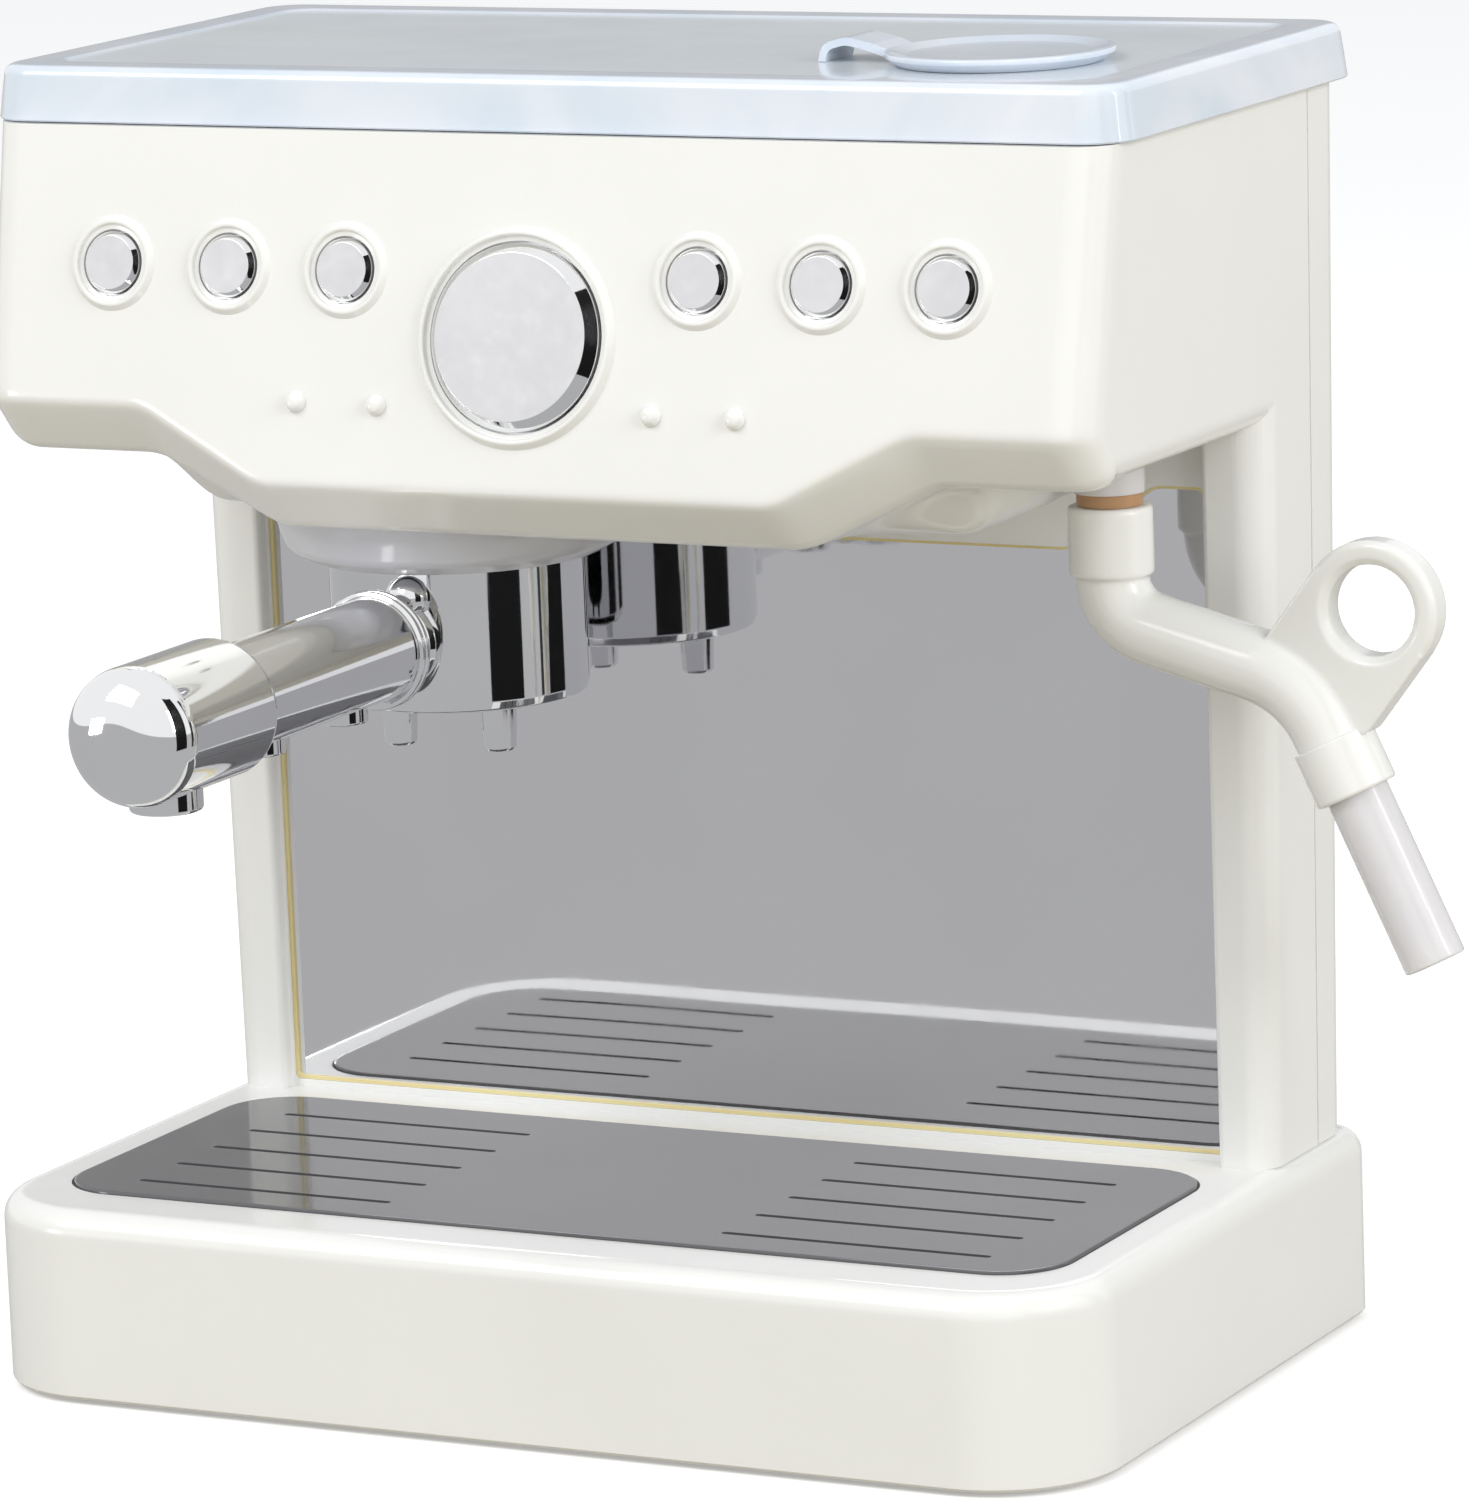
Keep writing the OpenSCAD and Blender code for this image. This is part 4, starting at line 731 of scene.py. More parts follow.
@dataclass
class Workshop:
    """Dresses pieces in their finishes and fixes them to the frame."""

    nodes: dict[str, bpy.types.Object]
    materials: dict[Slot, bpy.types.Material] = field(default_factory=dict)
    extra: dict[str, bpy.types.Material] = field(default_factory=dict)

    def __post_init__(self) -> None:
        """Builds each finish once."""
        for finish in FINISHES:
            self.materials[finish.slot] = finish.material()

    def paint(self, piece: bpy.types.Object, finish: Finish, low_z: float | None = None, high_z: float | None = None,
              facing: Vector | None = None) -> None:
        """Gives a piece another finish of its slot, or only its faces in a band of heights that face one way.

        Args:
            piece: The dressed piece.
            finish: The other finish.
            low_z: Lower end of the band in millimetres, or None for the whole piece.
            high_z: Upper end of the band.
            facing: Direction that the faces look in.
        """
        if finish.name not in self.extra:
            self.extra[finish.name] = finish.material()
        if facing is None:
            piece.data.materials[0] = self.extra[finish.name]
            return
        piece.data.materials.append(self.extra[finish.name])
        for face in piece.data.polygons:
            if low_z <= face.center.z / MM <= high_z and face.normal.dot(facing) > 0.985:
                face.material_index = 1

    def dress_nodes(self, slot: Slot, names: Sequence[str]) -> None:
        """Gives carried-over solids their finish.

        Args:
            slot: The finish.
            names: Names of the solids.
        """
        for name in names:
            mesh = self.nodes[name].data
            mesh.materials.clear()
            mesh.materials.append(self.materials[slot])
            log.info("dressed %s in %s", name, slot.value)

    def fit(self, piece: bpy.types.Object, slot: Slot, body: str, replaces: Sequence[str] = (),
            sharp: float = 32.0) -> bpy.types.Object:
        """Shades a piece, gives it its finish and lets it ride on its body.

        Args:
            piece: The finished object.
            slot: The finish.
            body: Name of the body that carries it.
            replaces: Solids that the piece stands for.
            sharp: Angle above which an edge stays crisp, in degrees.

        Returns:
            The piece.
        """
        mesh = piece.data
        mesh.materials.clear()
        mesh.materials.append(self.materials[slot])
        mesh.shade_smooth()
        mesh.set_sharp_from_angle(angle=math.radians(sharp))
        weigh = piece.modifiers.new("even_normals", "WEIGHTED_NORMAL")
        weigh.keep_sharp = True
        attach(piece, body)
        if replaces:
            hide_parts(*replaces)
        log.info("%s: %d faces on %s", piece.name, len(mesh.polygons), body)
        return piece


# ---------------------------------------------------------------- housing


def eased(value: np.ndarray | float, low: float, high: float) -> np.ndarray:
    """Smooth step from 0 at low to 1 at high."""
    t = np.clip((np.asarray(value, float) - low) / (high - low), 0.0, 1.0)
    return t * t * (3.0 - 2.0 * t)


@dataclass
class Housing:
    """Drafted tower, leaning head with a stepped chin, and the rear cover."""

    shop: Workshop
    seat_z: float = 249.2
    deck_z: float = 39.0
    half_w: float = 120.0
    side_draft: float = 3.0
    back_y: float = 73.5
    back_draft: float = 1.5
    column_y: float = 32.5
    bay_half: float = 105.6
    wall_y: float = 36.3
    wall_t: float = 4.7
    seam_y: float = 56.0
    skin: float = 2.4
    front_y: float = -39.0
    lean: float = 0.2
    side_low: float = 186.0
    chin_low: float = 173.0
    crease_side: float = 196.0
    crease_chin: float = 182.0
    front_sag: float = 0.9
    corner_r: float = 8.0
    side_fillet: float = 5.0
    chin_fillet: float = 1.7
    side_x: float = 110.0
    under_front: float = -40.0
    under_deep: float = 77.0
    flank_x: float = 58.0
    flank_swell: float = 23.0
    flank_back: float = 3.6
    flank_edge: float = 90.0
    lid_under: float = 258.0
    key_z: float = 223.1
    key_first: float = 37.9
    key_step: float = 25.9
    key_bore: float = 6.5
    brew_z: float = 211.5
    brew_bore: float = 18.4
    bump_z: float = 198.0
    bump_first: float = 29.6
    bump_step: float = 17.7

    def panel_y(self, z: np.ndarray | float) -> np.ndarray | float:
        """Front plane of the head at a height."""
        return self.front_y - self.lean * (self.seat_z - z)

    def half_at(self, z: np.ndarray | float) -> np.ndarray | float:
        """Half width of the drafted housing at a height."""
        return self.half_w - self.side_draft * (self.seat_z - z) / (self.seat_z - self.deck_z)

    def on_panel(self, x: float, z: float) -> Matrix:
        """Frame on the leaning panel: its +Z points out of it."""
        turn = Matrix.Rotation(math.radians(90.0) - math.atan(self.lean), 4, "X")
        return Matrix.Translation((x, self.panel_y(z), z)) @ turn

    def chin_reach(self, x: np.ndarray, low: float = 55.6, high: float = 82.6) -> np.ndarray:
        """How far an edge has risen from the chin to the side flats, 0 to 1, between two softened kinks."""
        spread = np.linspace(-2.8, 2.8, 7)
        return np.mean([np.clip((np.abs(x) + shift - low) / (high - low), 0.0, 1.0) for shift in spread], axis=0)

    def crease_z(self, x: np.ndarray) -> np.ndarray:
        """Height of the crease across the head."""
        return self.crease_chin + (self.crease_side - self.crease_chin) * self.chin_reach(x)

    def underside(self, x: np.ndarray, y: np.ndarray) -> np.ndarray:
        """Height of the underside: flat chin, swelling flanks, flat sides.

        Args:
            x: Places across.
            y: Places in depth.

        Returns:
            Heights of the underside.
        """
        depth = np.clip((y - self.under_front) / self.under_deep, 0.0, 1.0)
        swell = np.sqrt(np.clip(1.0 - (1.0 - np.clip(depth / 0.4, 0.0, 1.0)) ** 2, 0.0, 1.0))
        flat = self.flank_x + self.flank_swell * swell - self.flank_back * np.clip((depth - 0.5) / 0.5, 0.0, 1.0) ** 2
        edge = self.flank_edge - 1.5 * depth
        t = np.clip((np.abs(x) - flat) / (edge - flat), 0.0, 1.0)
        front = self.chin_reach(x, 57.5, 84.5)
        belly = 1.0 - np.sqrt(np.clip(1.0 - t * t, 0.0, 1.0))
        mix = eased(depth, 0.02, 0.26)
        level = self.chin_low + (self.side_low - self.chin_low) * ((1.0 - mix) * front + mix * belly)
        return level - self.front_sag * (1.0 - eased(depth, 0.0, 0.4))

    def face_y(self, x: np.ndarray, z: np.ndarray) -> np.ndarray:
        """Front face of the head with its softened crease and the band below it.

        Args:
            x: Places across.
            z: Heights.

        Returns:
            Depths of the face.
        """
        crease = self.crease_z(x)
        turn = 0.86 + 0.2 * (1.0 - self.chin_reach(x))
        upper = self.panel_y(z)
        lower = self.panel_y(crease) + (crease - z) * turn
        gap = upper - lower
        return 0.5 * (upper + lower + np.sqrt(gap * gap + 1.2))

    def head(self, inset: float = 0.0) -> Solid:
        """The head as one closed skin.

        Args:
            inset: How far the skin is drawn inwards, for the hollow.

        Returns:
            The solid, running back past the seam.
        """
        corner = self.corner_r - inset * 0.7
        back = self.seam_y + 2.0
        top = self.seat_z + (3.0 if inset > 0.0 else 0.0)
        grow = 0.02 if inset == 0.0 else -inset
        # plan path: left side forwards, corner, front, corner, right side back
        nearest = self.panel_y(190.0) + corner
        side_y = np.concatenate([np.linspace(back, -20.0, 34), np.linspace(-23.0, nearest + 1.0, 10)])
        arc = np.radians(np.linspace(0.0, 90.0, 13))[1:-1]
        span = self.half_w - self.side_draft * 0.25 - corner
        kinks, counts = (-span, -91.0, -44.0, 44.0, 91.0, span), (12, 58, 30, 58, 12)
        inner = np.concatenate([np.linspace(a, b, n)[:-1] for a, b, n in zip(kinks, kinks[1:], counts)] + [[span]])
        count_side, count_arc, count_front = len(side_y), len(arc), len(inner)
        kind = np.concatenate([np.zeros(count_side), arc / (math.pi / 2), np.ones(count_front),
                               arc[::-1] / (math.pi / 2), np.zeros(count_side)])
        sign = np.concatenate([-np.ones(count_side + count_arc), np.sign(inner), np.ones(count_side + count_arc)])
        plan_x = np.concatenate([np.full(count_side + count_arc, -span), inner, np.full(count_side + count_arc, span)])
        ref_y = np.concatenate([side_y, np.zeros(2 * count_arc + count_front), side_y[::-1]])
        low_y = self.face_y(plan_x, self.underside(plan_x, np.full_like(plan_x, -46.0)) + 2.5) + 4.0
        across_x = np.where(kind > 0.0, plan_x, self.side_x)
        bottom = self.underside(across_x, np.where(kind > 0.0, low_y, 0.0)) + inset
        fillet = self.side_fillet + (self.chin_fillet - self.side_fillet) * eased(kind, 0.0, 1.0)
        if inset > 0.0:
            fillet = fillet * 0.5
        crease = self.crease_z(across_x)
        rows: list[np.ndarray] = []

        def row(z: np.ndarray, tuck: np.ndarray) -> None:
            """Adds one row of the skin at given heights, tucked inwards.

            Args:
                z: Height of each point.
                tuck: How far each point is drawn in.
            """
            half = self.half_at(z) + grow
            front = self.face_y(across_x, z) - grow
            turn = kind * math.pi / 2
            radius = np.maximum(corner - tuck, 0.3)
            in_arc = (kind > 0.0) & (kind < 1.0)
            x = np.where(kind == 0.0, sign * (half - tuck), plan_x)
            share = np.clip((back - ref_y) / (back - nearest), 0.0, 1.0)
            y = np.where(kind == 0.0, back + share * (front + corner - back), front + tuck)
            x = np.where(in_arc, sign * (half - corner + radius * np.cos(turn)), x)
            y = np.where(in_arc, front + corner - radius * np.sin(turn), y)
            ends = (kind == 1.0) & (np.abs(plan_x) > span - 1e-6)
            x = np.where(ends, sign * (half - corner), x)
            rows.append(np.column_stack([x, y, z]))

        half_band, flat = 2.4, np.zeros_like(kind)
        for t in np.linspace(0.0, 1.0, 9):
            row(top + (crease + half_band - top) * t, flat)
        for t in np.linspace(0.0, 1.0, 11)[1:]:
            row(crease + half_band - 2.0 * half_band * t, flat)
        start = np.minimum(crease - half_band, bottom + 20.0)
        for t in np.linspace(0.0, 1.0, 5)[1:]:
            row(start + (bottom + fillet - start) * t, flat)
        for angle in np.radians(np.linspace(0.0, 90.0, 9)[1:]):
            row(bottom + fillet * (1.0 - math.sin(angle)), fillet * (1.0 - math.cos(angle)))
        size = len(kind)
        points = [np.vstack(rows)]
        faces: list[tuple[int, ...]] = []
        for i in range(len(rows) - 1):
            for j in range(size - 1):
                a = i * size + j
                faces.append((a, a + 1, a + size + 1, a + size))
        # underside: a grid between the front row, both sides and the back
        last = (len(rows) - 1) * size
        ring = rows[-1]
        cut = count_side + count_arc // 2
        left, front, right = np.arange(0, cut + 1), np.arange(cut, size - cut), np.arange(size - 1 - cut, size)[::-1]
        depth, across = len(left), len(front)
        shift = (ring[front, 0] - ring[front[0], 0]) / (ring[front[-1], 0] - ring[front[0], 0])
        back_x = ring[0, 0] + (ring[-1, 0] - ring[0, 0]) * shift
        grid = np.zeros((depth, across), int)
        grid[:, 0] = last + left
        grid[:, -1] = last + right
        grid[-1, :] = last + front
        extra: list[list[float]] = []
        base = len(rows) * size
        back_row = np.column_stack([back_x, np.full(across, back)])
        front_row = ring[front, :2]
        for i in range(depth - 1):
            t = (ring[left[i], 1] - back) / (ring[left[-1], 1] - back)
            line = back_row * (1.0 - t) + front_row * t
            left_off, right_off = ring[left[i], :2] - line[0], ring[right[i], :2] - line[-1]
            for j in range(1, across - 1):
                x, y = line[j] + (1.0 - shift[j]) * left_off + shift[j] * right_off
                grid[i, j] = base + len(extra)
                extra.append([x, y, float(self.underside(np.array(x), np.array(y))) + inset])
        points.append(np.array(extra))
        for i in range(depth - 1):
            for j in range(across - 1):
                faces.append((grid[i, j], grid[i, j + 1], grid[i + 1, j + 1], grid[i + 1, j]))
        faces.append(tuple(range(size)))
        starts = [i * size for i in range(len(rows))]
        rim = starts + list(grid[0, 1:-1]) + [i + size - 1 for i in reversed(starts)]
        faces.append(tuple(int(i) for i in rim))
        return Solid(np.vstack(points), faces)

    def tower(self) -> Solid:
        """Columns, wall between them and the back, as one drafted loft.

        Returns:
            The solid tower.
        """
        rings = []
        for z in np.linspace(self.deck_z, self.seat_z, 8):
            half = float(self.half_at(z))
            back = self.back_y - self.back_draft * (self.seat_z - z) / (self.seat_z - self.deck_z)
            outline = filleted([
                (-half, self.column_y, 7.0), (-self.bay_half, self.column_y, 1.4), (-self.bay_half, self.wall_y, 0.8),
                (self.bay_half, self.wall_y, 0.8), (self.bay_half, self.column_y, 1.4), (half, self.column_y, 7.0),
                (half, back, 8.0), (-half, back, 8.0)], True, 10)
            rings.append(at_height(outline, z))
        return loft(rings)

    def tower_hollow(self) -> Solid:
        """Room inside the tower, open at the deck and at the top.

        Returns:
            The room as a solid.
        """
        rings = []
        for z in (self.deck_z - 1.0, self.seat_z + 2.0):
            half = float(self.half_at(z)) - self.skin
            back = self.back_y - self.back_draft * (self.seat_z - z) / (self.seat_z - self.deck_z) - self.skin
            rings.append(at_height(block_outline(2 * half, self.wall_y + self.wall_t, back, 2.0, 5.6), z))
        return loft(rings)

    def lip(self) -> Solid:
        """Rim flange and the lip that the lid drops over, as one ring.

        Returns:
            The closed ring.
        """
        flange = block_outline(237.0, self.front_y + 1.5, self.back_y - 1.5, 6.5, 6.5)
        outer = block_outline(237.2, -33.9, 71.1, 5.4, 5.4)
        inner = block_outline(232.8, -31.7, 68.9, 3.2, 3.2)
        low, mid, high = self.seat_z - self.skin, self.seat_z - 0.01, self.lid_under
        return loft([at_height(flange, low), at_height(flange, mid), at_height(outer, mid + 0.02),
                     at_height(outer, high), at_height(inner, high), at_height(inner, low)], True)

    def bezel(self, bore: float, rise: float) -> Solid:
        """Soft raised ring round a key.

        Args:
            bore: Radius of the hole for the key.
            rise: Height of the ring.

        Returns:
            The ring about +Z.
        """
        steps = [(0.0, -1.6, 0.0), (0.0, 0.25, 0.15), (0.9, 0.35, 0.25), (1.2, rise, 0.35), (1.9, rise, 0.5),
                 (2.9, 0.0, 0.6), (3.4, -0.2, 0.0), (3.4, -1.6, 0.0)]
        return lathe([(bore + out, z, fillet) for out, z, fillet in steps], 128, 5, True)

    def front(self) -> None:
        """Builds the front shell: columns, wall, head, chin, bezels and bumps."""
        shell = Workpiece("front_shell_moulding", self.tower())
        shell.join(self.head())
        shell.keep(box_solid((-150, -90, 0), (150, self.seam_y, 300)))
        shell.cut(self.tower_hollow(), self.head(self.skin))
        shell.join(self.lip_part(-90, self.seam_y))
        pocket = self.bay_plate(0.15, self.wall_y - 1.0, self.wall_y + 2.4)
        key_row = Lattice(3, 2, self.key_step, 2.0 * (self.key_first + self.key_step), along="X")
        bump_row = Lattice(2, 2, self.bump_step, 2.0 * self.bump_first + self.bump_step, along="X")
        at_keys, at_brew = self.on_panel(0, self.key_z), self.on_panel(0, self.brew_z)
        key_r, brew_r = self.key_bore, self.brew_bore
        bore, brew = drum(key_r, -8, 8, 96), drum(brew_r, -8, 8, 144)
        shell.join(key_row.repeat(self.bezel(key_r, 0.95)).placed(at_keys), self.bezel(brew_r, 1.35).placed(at_brew))
        shell.cut(key_row.repeat(bore).placed(at_keys), brew.placed(at_brew), pocket)
        bump = lathe([(0, -1.5, 0), (2.1, -1.5, 0), (2.1, 0.3, 1.2), (1.5, 1.6, 1.0), (0, 2.0, 0)], 40)
        shell.join(bump_row.repeat(bump).placed(self.on_panel(0, self.bump_z)))
        shell.cut(rod((96, 11.5, 180), (96, 11.5, 200), 6.0),
                  rod((-41.2, 0.5, 168), (-41.2, 0.5, 190), 3.4), self.seam(-0.28, 0.1))
        self.shop.fit(shell.object, Slot.IVORY, Body.HOUSING.value, ["front_shell"], 30.0)

    def key_places(self) -> list[float]:
        """Places of the small keys across the panel, from left to right."""
        right = [self.key_first + self.key_step * i for i in range(3)]
        return [-x for x in reversed(right)] + right

    def seam(self, low: float, high: float) -> Solid:
        """Two thin bars that open a fine groove where the shells meet.

        Args:
            low: Front of the groove from the seam.
            high: Back of the groove from the seam.

        Returns:
            The bars, along both drafted sides.
        """
        bars = []
        for side in (-1.0, 1.0):
            rings = []
            for z in (self.deck_z - 1.0, self.seat_z - 0.5):
                inner, outer = sorted((side * (float(self.half_at(z)) - 0.45), side * (float(self.half_at(z)) + 1.0)))
                low_y, high_y = self.seam_y + low, self.seam_y + high
                rings.append(at_height(np.array([[inner, low_y], [outer, low_y], [outer, high_y], [inner, high_y]]), z))
            bars.append(loft(rings))
        return bars[0].with_also(bars[1])

    def lip_part(self, low_y: float, high_y: float) -> Solid:
        """The part of the lip between two depths."""
        return taken(Workpiece("lip", self.lip()).keep(box_solid((-150, low_y, 0), (150, high_y, 300))))

    def bay_plate(self, gap: float, low_y: float, high_y: float) -> Solid:
        """Plate with the stepped outline of the mirror.

        Args:
            gap: Extra room on every side.
            low_y: Front of the plate.
            high_y: Back of the plate.

        Returns:
            The plate.
        """
        half, foot, drop = 105.1 + gap, 40.7 - gap, 12.6 - gap
        outline = filleted([(-half, foot, 1.0), (half, foot, 1.0), (half, self.side_low - drop, 2.0),
                            (94.0, self.side_low - drop, 6.0), (76.0, self.chin_low - drop, 8.0),
                            (-76.0, self.chin_low - drop, 8.0), (-94.0, self.side_low - drop, 6.0),
                            (-half, self.side_low - drop, 2.0)], True)
        return loft([at_depth(outline, low_y), at_depth(outline, high_y)])

    def rear(self) -> None:
        """Builds the rear cover with its screw wells and the speaker's holes."""
        shell = Workpiece("rear_cover_moulding", self.tower())
        shell.keep(box_solid((-150, self.seam_y, 0), (150, 120, 300)))
        shell.cut(self.tower_hollow())
        shell.join(self.lip_part(self.seam_y, 120))
        corners = Lattice(2, 2, 184.0, 96.0, along="XZ")
        post = rod((0, self.back_y - 1.8, 110), (0, self.seam_y + 1.2, 110), 4.6, 48)
        well = rod((0, self.back_y + 1.0, 110), (0, self.seam_y + 4.0, 110), 3.2, 48)
        shell.join(corners.repeat(post))
        shell.join(rod((-60, self.back_y - 1.8, 205), (-60, self.back_y - 8.6, 205), 15.4, 64))
        hole = rod((0, 0, 0), (0, 0, 12), 1.2, 24, 0.0)
        facing = Matrix.Translation((-60, self.back_y + 1.0, 205)) @ QUARTER
        shell.cut(corners.repeat(well), Rosette(6, 7.0).repeat(hole).placed(facing), self.seam(-0.1, 0.28))
        self.shop.fit(shell.object, Slot.IVORY, Body.HOUSING.value, ["rear_cover"], 30.0)

    def mirror(self) -> None:
        """Builds the mirror sheet and a thin edge in its pocket, painted ochre as painted shade of the ledge and its
        reflection.
        """
        sheet = self.bay_plate(0.0, self.wall_y + 1.2, self.wall_y + 2.4).as_object("mirror_sheet_panel")
        self.shop.fit(sheet, Slot.MIRROR, Body.HOUSING.value, ["mirror_panel"])
        edge = Workpiece("mirror_pocket_edge", self.bay_plate(0.12, self.wall_y + 0.5, self.wall_y + 1.18))
        edge.cut(self.bay_plate(-0.5, self.wall_y - 1.0, self.wall_y + 3.0))
        self.shop.fit(edge.object, Slot.IVORY, Body.HOUSING.value)
        # The pocket edge is painted ochre: painted shade of the ledge round the mirror.
        self.shop.paint(edge.object, POCKET_EDGE_PAINTED_SHADE)

    def build(self) -> None:
        """Builds all pieces of the housing."""
        self.front()
        self.rear()
        self.mirror()


# ---------------------------------------------------------------- base


@dataclass
class Base:
    """Foot block with its softened deck, and the drip plate."""

    shop: Workshop
    w: float = 240.0
    front: float = -72.5
    back: float = 77.3
    h: float = 39.0
    lift: float = 1.2
    front_r: float = 24.4
    back_r: float = 8.0
    deck_edge: float = 5.0
    basin_r: float = 4.0
    wall: float = 2.4
    plate_w: float = 217.4
    plate_front: float = -56.5
    plate_back: float = 26.7
    plate_r: float = 14.0
    plate_low: float = 37.4
    plate_t: float = 2.2
    slot_xs: tuple[float, float] = (36.4, 93.3)
    slot_pitch: float = 14.4
    slot_w: float = 1.6

    def outline(self, tuck: float, z: float) -> np.ndarray:
        """Outline of the foot block drawn inwards, at a height."""
        return at_height(block_outline(self.w - 2 * tuck, self.front + tuck, self.back - tuck, self.front_r - tuck,
                                       self.back_r - tuck, 16), z)

    def shell(self) -> None:
        """Builds the base shell with the plate's recess and the basin."""
        rings = []
        for tuck, z in [(0.5, self.lift), (0.0, self.lift + 0.6)] + [(0.0, z) for z in np.linspace(5.0, 33.0, 5)]:
            rings.append(self.outline(tuck, z))
        for angle in np.radians(np.linspace(0.0, 90.0, 12)):
            rings.append(self.outline(self.deck_edge * (1.0 - math.cos(angle)),
                                      self.h - self.deck_edge * (1.0 - math.sin(angle))))
        piece = Workpiece("base_shell_moulding", loft(rings))
        gap, wall, corner = 0.35, self.wall, self.basin_r
        seat = block_outline(self.plate_w + 2 * gap, self.plate_front - gap, self.plate_back + gap, self.plate_r,
                             self.plate_r, 12)
        basin = block_outline(self.plate_w - 12.0, self.plate_front + 6.0, self.plate_back - 6.0, corner, corner, 6)
        below = block_outline(self.w - 2 * wall, self.front + wall, self.back - wall, 22.0, 5.6, 8)
        cavity = Workpiece("cavity", slab(below, 0.0, self.h - 4.8))
        room = block_outline(self.plate_w - 7.2, self.plate_front + 3.6, self.plate_back - 3.6, corner + wall,
                             corner + wall, 8)
        cavity.cut(slab(room, 24.0, 60.0))
        piece.cut(taken(cavity), slab(seat, self.plate_low, 60.0), slab(basin, 26.4, 50.0))
        self.shop.fit(piece.object, Slot.IVORY, Body.HOUSING.value, ["base_shell"], 30.0)

    def plate(self) -> None:
        """Builds the drip plate, with a softened top edge and slots."""
        high = self.plate_low + self.plate_t
        rings = []
        for tuck, z in ((0.3, 0.0), (0.0, 0.3), (0.0, self.plate_t - 0.7), (0.1, self.plate_t - 0.3),
                        (0.35, self.plate_t - 0.07), (0.75, self.plate_t)):
            ring = block_outline(self.plate_w - 2 * tuck, self.plate_front + tuck, self.plate_back - tuck,
                                 self.plate_r - tuck, self.plate_r - tuck, 12)
            rings.append(at_height(ring, self.plate_low + z))
        piece = Workpiece("drip_plate_moulding", loft(rings))
        middle = (self.plate_front + self.plate_back) / 2 - 2.6
        low_x, high_x = self.slot_xs
        half_l, half_w = (high_x - low_x) / 2, self.slot_w / 2
        ring = filleted([(-half_l, middle - half_w, 0.79), (half_l, middle - half_w, 0.79),
                         (half_l, middle + half_w, 0.79), (-half_l, middle + half_w, 0.79)], True, 6)
        slots = Lattice(2, 5, low_x + high_x, self.slot_pitch)
        piece.cut(slots.repeat(slab(ring, self.plate_low - 1, high + 1)))
        self.shop.fit(piece.object, Slot.PLATE, Body.TRAY.value, ["drip_plate"], 30.0)

    def build(self) -> None:
        """Builds the base's pieces."""
        self.shell()
        self.plate()


# ---------------------------------------------------------------- lid


